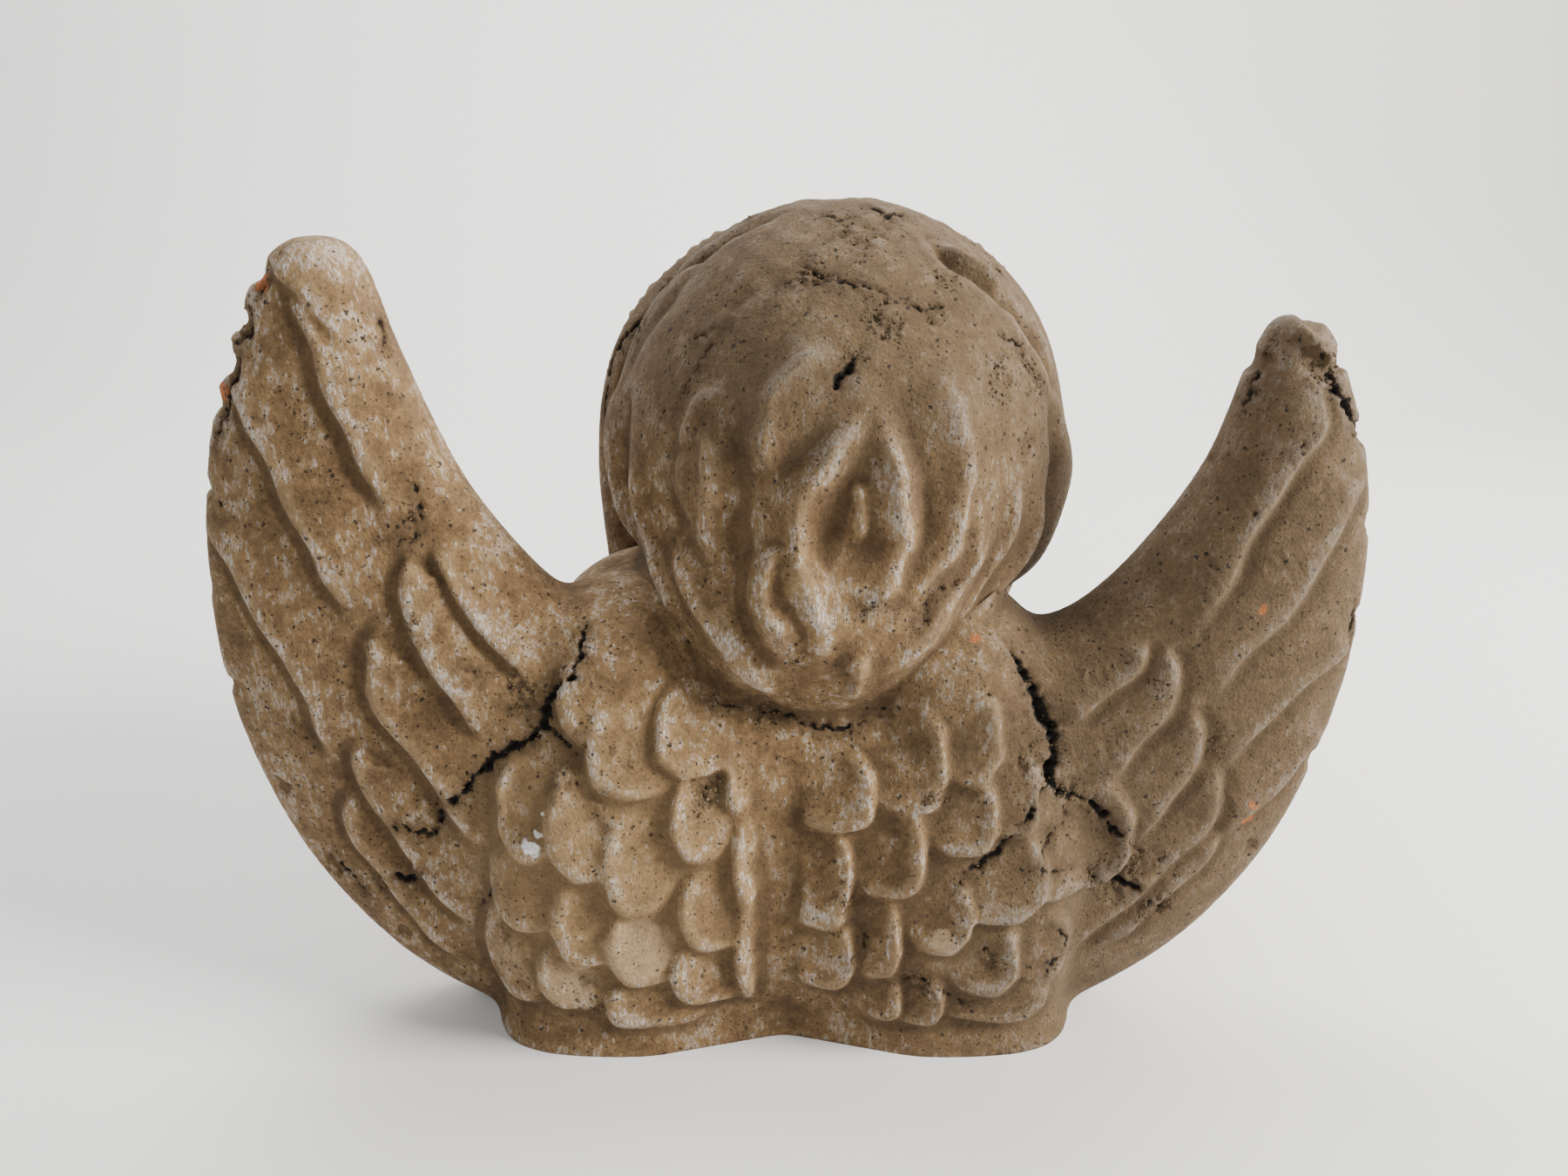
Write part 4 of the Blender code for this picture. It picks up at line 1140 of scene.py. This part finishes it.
# How much of each layer's colour goes on at most
WORN_SHARE = 0.45
DIRT_AND_SHADE_SHARE = 0.62
PAINT_SHARE = 0.80
PALE_SHARE = 0.32
CROWN_GREY_AND_SHADE_SHARE = 0.72
SIDE_SHADE_SHARE = 0.75
ROUGH_SHARE = 0.40
CRACK_STAIN = 0.45
BUMP_STRENGTH = 0.85
BUMP_DISTANCE = 0.0009
SHINE = 0.35


def add_spots(board, place, back, color):
    """Lay the spots of other colours on the back."""
    flat = board.vector('MULTIPLY', first=board.shake(place, 260.0, 0.006), second=(1.0, 0.0, 1.0))
    facing_back = board.ease(0.0, 0.02, back)
    for out, up, reach, tone, strength in SPOTS:
        far = board.vector('DISTANCE', first=flat, second=(out * MM, 0.0, up * MM))
        inside = board.ease(reach * MM, 0.6 * reach * MM, far)
        color = board.mix(inside * facing_back * strength, color, tone)
    return color


def find_pits(board, place, rough, mottle, sunk):
    """Pits: one cell in a few holds one, wide where the cement crumbles."""
    pitted = 0.0
    ragged = board.shake(place, 900.0, 0.0022)
    for scale, size, least in PIT_SIZES:
        cells = board.add("ShaderNodeTexVoronoi", {}, {"Vector": ragged, "Scale": scale})
        chance = board.add("ShaderNodeSeparateXYZ", {}, {0: cells.out("Color")}).out("X")
        wide = board.ease(least, 1.0, chance + rough * 0.25 + (mottle - 0.5) * 0.6) * size
        pitted = board.ease(1.0, 0.55, cells / (wide + 0.001)) * (1.0 - sunk * 0.6) + pitted
    return pitted


def paint_cement(board):
    """Build the finish of weathered cement on a material's board."""
    place = board.add("ShaderNodeTexCoord").out("Object")
    stored = {name: board.add("ShaderNodeAttribute", {"attribute_name": name}).out("Fac")
              for name in ("crack", "pit", "rough", "hollow")}
    level = board.add("ShaderNodeSeparateXYZ", {}, {0: place})
    out, back, up = level.out("X"), level.out("Y"), level.out("Z")
    clouds = board.noise(place, *CLOUDS)
    mottle = board.noise(place, *MOTTLE)
    grain = board.noise(place, *GRAIN)
    hanging = board.vector('MULTIPLY', first=place, second=STREAK_STRETCH)
    streak = board.noise(hanging, *STREAKS)
    speck = board.noise(place, *SPECKS)
    raised = board.ease(-0.20, -1.40, stored["hollow"])
    sunk = board.ease(0.00, 1.00, stored["hollow"])

    # Cloudy brown, worn on the rims, and darkened in the hollows with dirt and painted shade
    color = board.mix(board.ease(0.36, 0.62, clouds * 0.45 + mottle * 0.25 + speck * 0.30), EARTH, SAND)
    color = board.mix(raised * WORN_SHARE, color, WORN)
    color = board.mix(sunk * DIRT_AND_SHADE_SHARE, color, DIRT_AND_SHADE)

    # Old paint clings in short hanging streaks, most of it to the raised edges of the back
    cling = streak * 0.55 + mottle * 0.45 + (clouds - 0.5) * 0.45 + raised * 0.05
    flakes = board.ease(0.45, 0.57, board.noise(hanging, *FLAKES))
    seen_side = board.ease(-0.070, -0.040, back)
    old_paint = board.ease(0.535, 0.600, cling) * (raised * 0.45 + 0.55) * (1.0 - sunk)
    old_paint = old_paint * (flakes * 0.85 + 0.15) * (seen_side * 0.6 + 0.4)
    color = board.mix(old_paint * PAINT_SHARE, color, PAINT)

    # Brushing has left the scales on the figure's left paler than the rest
    to_scales = board.vector('DISTANCE', first=place, second=PALE_PLACE)
    pale = board.ease(0.070, 0.025, to_scales + clouds * 0.01)
    color = board.mix(pale * PALE_SHARE, color, WORN)

    # The crown gets greyer and darker, partly from rain and partly as painted shade, and the figure's right
    # side gets darker as painted shade
    to_crown = board.vector('DISTANCE', first=place, second=CROWN_PLACE)
    crown = board.ease(0.175, 0.225, up + clouds * 0.02) * board.ease(0.100, 0.070, to_crown)
    shaded_right_side = board.ease(-0.010, -0.095, out) * SIDE_SHADE_SHARE
    color = board.mix(crown * CROWN_GREY_AND_SHADE_SHARE + shaded_right_side * (1.0 - crown), color, LICHEN_AND_SHADE)
    color = board.mix(stored["rough"] * ROUGH_SHARE, color, LICHEN_AND_SHADE)
    color = add_spots(board, place, back, color)
    color = board.vector('SCALE', first=color, scale=grain * 1.10 + mottle * 0.60 + 0.15)

    # Pits, cracks and holes are painted black inside as painted shade, with a stain beside each crack
    pitted = find_pits(board, place, stored["rough"], mottle, sunk)
    edge = stored["crack"] + (grain - 0.5) * 0.0012
    cracked = board.ease(0.00025, -0.00025, edge)
    hole = board.ease(0.00010, -0.00045, stored["pit"] + (grain - 0.5) * 0.0010)
    color = board.mix(board.ease(0.0040, 0.0, edge) * CRACK_STAIN, color, DIRT_AND_SHADE)
    hole_shade = board.greater(board.greater(pitted * 0.85, cracked * 0.97), hole * 0.80)
    color = board.mix(hole_shade, color, SHADE_BLACK)

    relief = grain * 0.60 + mottle * 0.40 - cracked - hole
    bump = board.add("ShaderNodeBump", {}, {"Strength": BUMP_STRENGTH, "Distance": BUMP_DISTANCE,
                                            "Height": relief})
    shader = board.tree.nodes["Principled BSDF"]
    roughness = 0.93 - raised * 0.20 + hole_shade * 0.05
    for name, wire in (("Base Color", color), ("Roughness", roughness), ("Normal", bump)):
        board.tree.links.new(wire.socket, shader.inputs[name])
    shader.inputs["Specular IOR Level"].default_value = SHINE


material = bpy.data.materials.new("weathered cement")
material.use_nodes = True
paint_cement(Board(material.node_tree))
print("nodes in the finish:", len(material.node_tree.nodes))

# %% [markdown]
# ## Cracks and crumbled places
#
# The cracks follow the joints between wings and body, where a casting dries and shrinks most.
# Each is drawn as a few places on the back, then laid on the skin by a ray from behind, so it
# follows the carving. Along the way it jumps from side to side and changes width, as a crack
# finds its way round the grains of sand.

# %% Lines on the skin
# Half the width in millimetres, then millimetres out from the middle and up
BODY_CRACKS = [
    (1.5, [(58, 140), (61, 129), (68, 121), (69, 113), (77, 106), (86, 101), (93, 93), (98, 88), (105, 86)]),
    (0.8, [(105, 86), (104, 78), (109, 74), (115, 75), (121, 76)]), (0.5, [(69, 113), (63, 107), (60, 103)]),
    (1.7, [(-66, 134), (-70, 127), (-74, 118), (-78, 110), (-79, 103), (-78, 96), (-82, 91), (-89, 88)]),
    (1.3, [(-89, 88), (-95, 84), (-100, 77), (-106, 71), (-109, 67)]),
    (0.9, [(-78, 95), (-71, 88), (-66, 81), (-57, 72), (-50, 66)]),
    (1.3, [(-93, 62), (-99, 58), (-104, 57), (-110, 54), (-114, 52)]),
    (0.7, [(-114, 52), (-115, 47), (-120, 43)]),
    (0.6, [(-85, 83), (-78, 77), (-76, 71), (-81, 67), (-87, 67)]),
    (0.5, [(-34, 31), (-43, 31), (-50, 26), (-57, 20)]), (0.6, [(-83, 48), (-87, 41), (-83, 35), (-80, 31)]),
    (0.5, [(112, 229), (110, 224), (110, 218)]),
    (0.5, [(113, 167), (107, 167), (103, 169), (102, 177), (103, 185)]),
    (0.9, [(145, 60), (138, 53), (133, 45)]),
    (1.0, [(139, 236), (144, 226), (149, 215), (154, 204), (160, 192)]),
    (0.8, [(-134, 221), (-131, 213), (-130, 209), (-128, 201), (-125, 192)]),
    (1.4, [(-145, 218), (-149, 211), (-153, 206), (-158, 200), (-163, 193)]),
    (0.6, [(-168, 143), (-169, 131)]), (1.2, [(122, 57), (115, 55)]), (0.5, [(88, 60), (92, 52), (96, 47)]),
    (0.4, [(52, 96), (55, 90), (52, 84)]), (0.4, [(20, 98), (24, 92)]),
    (0.5, [(-22, 52), (-24, 44), (-21, 36)]),
]
# Half the width in millimetres, then longitude and latitude on the head
HAIR_CRACKS = [
    (0.5, [(25, 45), (12, 47), (2, 47), (-7, 45)]), (0.6, [(-44, 35), (-51, 32), (-52, 28), (-57, 23)]),
    (0.6, [(27, -40), (17, -43), (10, -44), (-2, -44), (-14, -40)]), (1.5, [(6, 23), (4, 26), (1, 30)]),
    (0.35, [(-18, -23), (-19, -19), (-23, -17), (-28, -15)]), (0.35, [(-5, -20), (-8, -18), (-11, -19)]),
    (0.30, [(0, -30), (-2, -31), (-4, -33)]), (0.35, [(10, -24), (8, -26), (8, -29)]),
    (1.2, [(104, -2), (106, 13), (104, 27), (106, 38), (98, 52), (84, 63)]), (0.3, [(44, 29), (39, 33)]),
    (0.5, [(-14, 43), (-20, 42), (-27, 43)]), (0.5, [(20, 51), (14, 49), (6, 48)]),
    (0.6, [(28, 72), (16, 69), (8, 72)]), (0.9, [(-8, 79), (-19, 72), (-43, 74)]),
    (0.3, [(36, 38), (40, 26), (44, 14)]), (0.5, [(-60, 20), (-64, 14), (-62, 8)]),
]
# Millimetres out from the middle and up, then the reach
BODY_PATCHES = [
    (47, 106, 8), (60, 112, 6), (66, 98, 8), (78, 122, 9), (92, 128, 8), (106, 142, 8), (112, 60, 7),
    (128, 50, 8), (-72, 102, 9), (-84, 90, 8), (-102, 60, 12), (-118, 46, 9), (-128, 104, 7), (-120, 62, 7),
    (-148, 214, 8), (-40, 28, 8), (-62, 40, 7), (-20, 62, 7), (60, 20, 7), (86, 42, 7), (60, 32, 5),
    (146, 226, 7), (-112, 124, 5), (105, 172, 6), (24, 92, 6), (-44, 96, 7),
]
# Longitude and latitude on the head, then the reach
HAIR_PATCHES = [
    (4, 62, 13), (-13, 64, 11), (17, 49, 8), (-6, 38, 9), (-19, 42, 8), (-40, 26, 11), (-52, 24, 10),
    (-76, 54, 10), (80, 24, 10), (15, -43, 6), (1, 29, 5), (-30, 50, 9), (100, 44, 9), (-46, 10, 6),
]
CRACK_SPACING = 0.0012
CRACK_JUMP = 0.0005
DRAW_SEED = 11
RAY_START = 0.3


def on_back(tree, out, up):
    """Where a ray from behind meets the skin, for a place in millimetres."""
    return tree.ray_cast(Vector((out * MM, RAY_START, up * MM)), Vector((0.0, -1.0, 0.0)))[0]


def on_hair(tree, longitude, latitude):
    """Where a ray towards the head's middle meets the hair."""
    way = Vector(HEAD_AXES @ (sphere_point(longitude, latitude) * HEAD_RADII))
    middle = Vector(HEAD_CENTRE)
    return tree.ray_cast(middle + 2.0 * way, -way.normalized())[0]


def lay_points(name, places, sizes, edges=()):
    """A helper object of points and edges, with a size stored on each point."""
    mesh = bpy.data.meshes.new(name)
    mesh.from_pydata(places, list(edges), [])
    mesh.attributes.new("size", 'FLOAT', 'POINT').data.foreach_set("value", sizes)
    helper = bpy.data.objects.new(name, mesh)
    bpy.context.scene.collection.objects.link(helper)
    return helper


def lay_cracks(tree):
    """All cracks as ragged lines on the skin, thin at both ends."""
    chance = np.random.default_rng(DRAW_SEED)
    places, sizes, edges = [], [], []
    for finder, cracks in ((on_back, BODY_CRACKS), (on_hair, HAIR_CRACKS)):
        for half, corners in cracks:
            skin = [finder(tree, *corner) for corner in corners]
            skin = np.array([spot for spot in skin if spot is not None])
            length = np.linalg.norm(np.diff(skin, axis=0), axis=1).sum()
            count = max(4, int(length / CRACK_SPACING))
            line = curve(skin, count) + chance.normal(0.0, CRACK_JUMP, (count, 3))
            along = np.linspace(0.0, 1.0, count)
            taper = 0.25 + 0.75 * np.sin(math.pi * along) ** 0.5
            width = half * MM * chance.uniform(0.45, 1.15, count) * taper
            edges += [(len(places) + index, len(places) + index + 1) for index in range(count - 1)]
            places += [tuple(spot) for spot in line]
            sizes += list(width)
    return lay_points("crack_lines", places, sizes, edges)


def lay_patches(tree):
    """The middles of the crumbled places, each with its reach."""
    found = [(on_back(tree, out, up), reach) for out, up, reach in BODY_PATCHES]
    found += [(on_hair(tree, east, north), reach) for east, north, reach in HAIR_PATCHES]
    found = [(tuple(place), reach * MM) for place, reach in found if place is not None]
    return lay_points("crumbled_places", [place for place, _ in found], [reach for _, reach in found])


skin_tree = BVHTree.FromObject(casting, bpy.context.evaluated_depsgraph_get())
crack_lines = lay_cracks(skin_tree)
crumbled_places = lay_patches(skin_tree)
print("crack points:", len(crack_lines.data.vertices), "crumbled places:", len(crumbled_places.data.vertices))

# %% [markdown]
# ## Weathering
#
# A node tree wears the skin: it opens the cracks, drops pits at random with more of them in the
# crumbled places, and roughens those. Every measure is a distance, so the same tree would wear
# any skin. It also stores what it did as values on the points, which the finish reads: how far
# the nearest crack and pit are, how crumbled the place is, and how hollow.

# %% Trees that change a mesh
def grow(thing, name, given, build):
    """Run a new Geometry Nodes tree over the object and keep the result as its plain mesh.

    given holds the kind and the value of each named input of the tree.
    """
    tree = bpy.data.node_groups.new(name, 'GeometryNodeTree')
    tree.interface.new_socket("Geometry", in_out='INPUT', socket_type='NodeSocketGeometry')
    tree.interface.new_socket("Geometry", in_out='OUTPUT', socket_type='NodeSocketGeometry')
    modifier = thing.modifiers.new(name, 'NODES')
    keys = {label: tree.interface.new_socket(label, in_out='INPUT', socket_type=kind).identifier
            for label, (kind, _) in given.items()}
    board = Board(tree)
    start = board.add("NodeGroupInput")
    made = build(board, start.out("Geometry"), {label: start.out(label) for label in given})
    made = board.add("GeometryNodeRealizeInstances", {}, {"Geometry": made})
    made = board.add("GeometryNodeSetMaterial", {}, {"Geometry": made, "Material": material})
    board.add("NodeGroupOutput", {}, {"Geometry": made})
    modifier.node_group = tree
    for label, (_, value) in given.items():
        modifier[keys[label]] = value
    bake(thing)


def store(board, geometry, name, value):
    """Keep a value on every point under a name."""
    return board.add("GeometryNodeStoreNamedAttribute", {"data_type": 'FLOAT', "domain": 'POINT'},
                     {"Geometry": geometry, "Name": name, "Value": value})


def recall(board, name):
    """A value that was kept on the points."""
    return board.add("GeometryNodeInputNamedAttribute", {"data_type": 'FLOAT'}, {"Name": name})


def nearest(board, target, element, place, value):
    """Distance to the nearest part of a target, and the target's own value there."""
    gap = board.add("GeometryNodeProximity", {"target_element": element},
                    {"Geometry": target, "Sample Position": place}).out("Distance")
    index = board.add("GeometryNodeSampleNearest", {"domain": 'POINT'},
                      {"Geometry": target, "Sample Position": place})
    size = board.add("GeometryNodeSampleIndex", {"data_type": 'FLOAT', "domain": 'POINT'},
                     {"Geometry": target, "Value": value, "Index": index})
    return gap, size


# %% Wear the skin
WEAR_SIZES = {
    "Crack Depth": 0.0034, "Pit Depth": 0.0010, "Pit Least": 0.0002, "Pit Most": 0.0008,
    "Pit Spacing": 0.0030, "Crumble Depth": 0.0052, "Grain Depth": 0.00030,
}
WEAR_SEED = 5
PIT_DENSITY = 60000.0
# How fine and how far each edge is shaken out of true
CRACK_SHAKE = (330.0, 0.0026)
PATCH_SHAKE = (90.0, 0.016)
PIT_SHAKE = (420.0, 0.0030)
BLUR_ROUNDS = 40
HOLLOW_DEPTH = 0.0005


def wear(board, geometry, given):
    """Open the cracks, drop the pits, crumble the patches and store what was done."""
    place = board.add("GeometryNodeInputPosition")
    normal = board.add("GeometryNodeInputNormal")
    lines, patches = [board.add("GeometryNodeObjectInfo", {"transform_space": 'RELATIVE'},
                                {"Object": given[name]}).out("Geometry") for name in ("Cracks", "Patches")]
    ragged = board.shake(place, *CRACK_SHAKE)
    gap, half = nearest(board, lines, 'EDGES', ragged, recall(board, "size"))
    geometry = store(board, geometry, "crack", gap - half)
    gap, reach = nearest(board, patches, 'POINTS', board.shake(place, *PATCH_SHAKE), recall(board, "size"))
    near_crack = board.ease(0.0065, 0.0, recall(board, "crack")) * 0.55
    rough = board.ease(1.05, 0.35, gap / reach) + near_crack
    rough = rough * board.ease(0.36, 0.58, board.noise(place, 240.0))
    geometry = store(board, geometry, "rough", rough)

    points = board.add("GeometryNodeDistributePointsOnFaces", {"distribute_method": 'POISSON'}, {
        "Mesh": geometry, "Distance Min": given["Pit Spacing"], "Density Max": PIT_DENSITY,
        "Density Factor": recall(board, "rough") * 0.95 + 0.04, "Seed": given["Seed"]})
    radius = board.add("FunctionNodeRandomValue", {"data_type": 'FLOAT'},
                       {"Min": given["Pit Least"], "Max": given["Pit Most"], "Seed": given["Seed"]})
    gap, size = nearest(board, points, 'POINTS', board.shake(place, *PIT_SHAKE), radius)
    geometry = store(board, geometry, "pit", gap - size)

    depth = board.ease(0.0005, -0.0016, recall(board, "crack")) * given["Crack Depth"]
    depth = depth + board.ease(0.0003, -0.0009, recall(board, "pit")) * given["Pit Depth"]
    crumbs = board.noise(place, 420.0, 4.0, 0.65) - 0.44
    depth = depth + recall(board, "rough") * crumbs * given["Crumble Depth"]
    depth = depth + (board.noise(place, 700.0, 3.0) - 0.5) * given["Grain Depth"]
    inwards = board.vector('SCALE', first=normal, scale=0.0 - depth)
    geometry = board.add("GeometryNodeSetPosition", {}, {"Geometry": geometry, "Offset": inwards})

    # A point is hollow when the places round it, on average, stand further out than it does
    around = board.add("GeometryNodeBlurAttribute", {"data_type": 'FLOAT_VECTOR'},
                       {"Value": place, "Iterations": BLUR_ROUNDS})
    lift = board.vector('SUBTRACT', first=around, second=place)
    hollow = board.vector('DOT_PRODUCT', first=lift, second=normal) / HOLLOW_DEPTH
    return store(board, geometry, "hollow", hollow)


wear_inputs = {"Cracks": ('NodeSocketObject', crack_lines), "Patches": ('NodeSocketObject', crumbled_places),
               "Seed": ('NodeSocketInt', WEAR_SEED)}
wear_inputs.update({label: ('NodeSocketFloat', size) for label, size in WEAR_SIZES.items()})
grow(casting, "wear", wear_inputs, wear)
for helper in (crack_lines, crumbled_places):
    bpy.data.objects.remove(helper)


def stored_range(thing, name):
    """The middle nine tenths of a stored value."""
    values = np.empty(len(thing.data.vertices))
    thing.data.attributes[name].data.foreach_get("value", values)
    return [round(float(value), 4) for value in np.percentile(values, (5, 50, 95))]


print("stored:", {name: stored_range(casting, name) for name in ("crack", "pit", "rough", "hollow")})

# %% [markdown]
# ## Thinning and the flat underside
#
# An even grid spends as many triangles on smooth places as on carved ones. Decimate takes them
# from where the surface is even. Then the underside is cut off level, so the piece stands.

# %% Thin out and cut flat
CASTING_TRIANGLES = 196000
LEVEL_REACH = 1e-5


def thin_out(thing, triangles):
    """Keep the triangles where the form turns and drop them where it is even."""
    net = bmesh.new()
    net.from_mesh(thing.data)
    bmesh.ops.triangulate(net, faces=net.faces)
    net.to_mesh(thing.data)
    net.free()
    fewer = thing.modifiers.new("thin out", 'DECIMATE')
    fewer.ratio = min(1.0, triangles / len(thing.data.polygons))
    bake(thing)


def cut_flat(thing):
    """Cut the underside off level at height zero, close it and count the edges left open."""
    net = bmesh.new()
    net.from_mesh(thing.data)
    everything = list(net.verts) + list(net.edges) + list(net.faces)
    bmesh.ops.bisect_plane(net, geom=everything, plane_co=(0.0, 0.0, 0.0), plane_no=(0.0, 0.0, 1.0),
                           clear_inner=True)
    rim = [edge for edge in net.edges if edge.is_boundary]
    bmesh.ops.contextual_create(net, geom=rim)
    for vertex in net.verts:
        if abs(vertex.co.z) < LEVEL_REACH:
            vertex.co.z = 0.0
    bmesh.ops.triangulate(net, faces=[face for face in net.faces if len(face.verts) > 3])
    open_edges = sum(1 for edge in net.edges if not edge.is_manifold)
    net.to_mesh(thing.data)
    net.free()
    return open_edges


thin_out(casting, CASTING_TRIANGLES)
left_open = cut_flat(casting)
casting.data.shade_smooth()
print("triangles:", len(casting.data.polygons), "open edges:", left_open)
print("stored:", {name: stored_range(casting, name) for name in ("crack", "pit", "rough", "hollow")})

# %% [markdown]
# ## Loose grit
#
# Where cement crumbles, grains of sand stand free. They are far too many to place by hand and
# none is seen closely, so one small lump of twenty faces is set down again and again, turned and
# stretched at random, and denser where the skin is rough.

# %% Grit
GRIT_RADIUS = 0.00050
GRIT_DENSITY = 420000.0
GRIT_SEED = 8
GRIT_SPACING = 2.2 * GRIT_RADIUS
# What the finish reads on each grain: far from cracks and pits, a little rough and raised
GRIT_VALUES = {"crack": 0.01, "pit": 0.01, "rough": 0.3, "hollow": -0.3}


def scatter_grit(board, geometry, given):
    """Half sunk grains on the rough places of the casting."""
    skin = board.add("GeometryNodeObjectInfo", {"transform_space": 'RELATIVE'},
                     {"Object": given["Casting"]}).out("Geometry")
    points = board.add("GeometryNodeDistributePointsOnFaces", {"distribute_method": 'POISSON'}, {
        "Mesh": skin, "Distance Min": given["Spacing"], "Density Max": given["Density"],
        "Density Factor": board.ease(0.35, 1.0, recall(board, "rough")), "Seed": given["Seed"]})
    lump = board.add("GeometryNodeMeshIcoSphere", {}, {"Radius": given["Radius"], "Subdivisions": 1})
    turn = board.add("FunctionNodeRandomValue", {"data_type": 'FLOAT_VECTOR'},
                     {"Min": (0.0, 0.0, 0.0), "Max": (math.tau, math.tau, math.tau), "Seed": given["Seed"]})
    stretch = board.add("FunctionNodeRandomValue", {"data_type": 'FLOAT_VECTOR'},
                        {"Min": (0.5, 0.5, 0.5), "Max": (1.5, 1.5, 1.5), "Seed": given["Seed"]})
    grains = board.add("GeometryNodeInstanceOnPoints", {}, {"Points": points, "Instance": lump,
                                                             "Rotation": turn, "Scale": stretch})
    grains = board.add("GeometryNodeRealizeInstances", {}, {"Geometry": grains})
    for name, value in GRIT_VALUES.items():
        grains = store(board, grains, name, value)
    return grains


grit = bpy.data.objects.new("grit", bpy.data.meshes.new("grit"))
bpy.context.scene.collection.objects.link(grit)
grit_inputs = {
    "Casting": ('NodeSocketObject', casting), "Seed": ('NodeSocketInt', GRIT_SEED),
    "Spacing": ('NodeSocketFloat', GRIT_SPACING), "Density": ('NodeSocketFloat', GRIT_DENSITY),
    "Radius": ('NodeSocketFloat', GRIT_RADIUS),
}
grow(grit, "grit", grit_inputs, scatter_grit)
print("grit triangles:", len(grit.data.polygons))

# %% [markdown]
# ## Hand over
#
# The fine casting stands for the packed solid, rides on its body and wears the cement made above.
# The grit rides along with it.

# %% Ride, replace and finish
casting.name = "angel_head_casting"
grit.name = "loose_grit"
for piece in (casting, grit):
    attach(piece, "root")
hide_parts("angel_head")
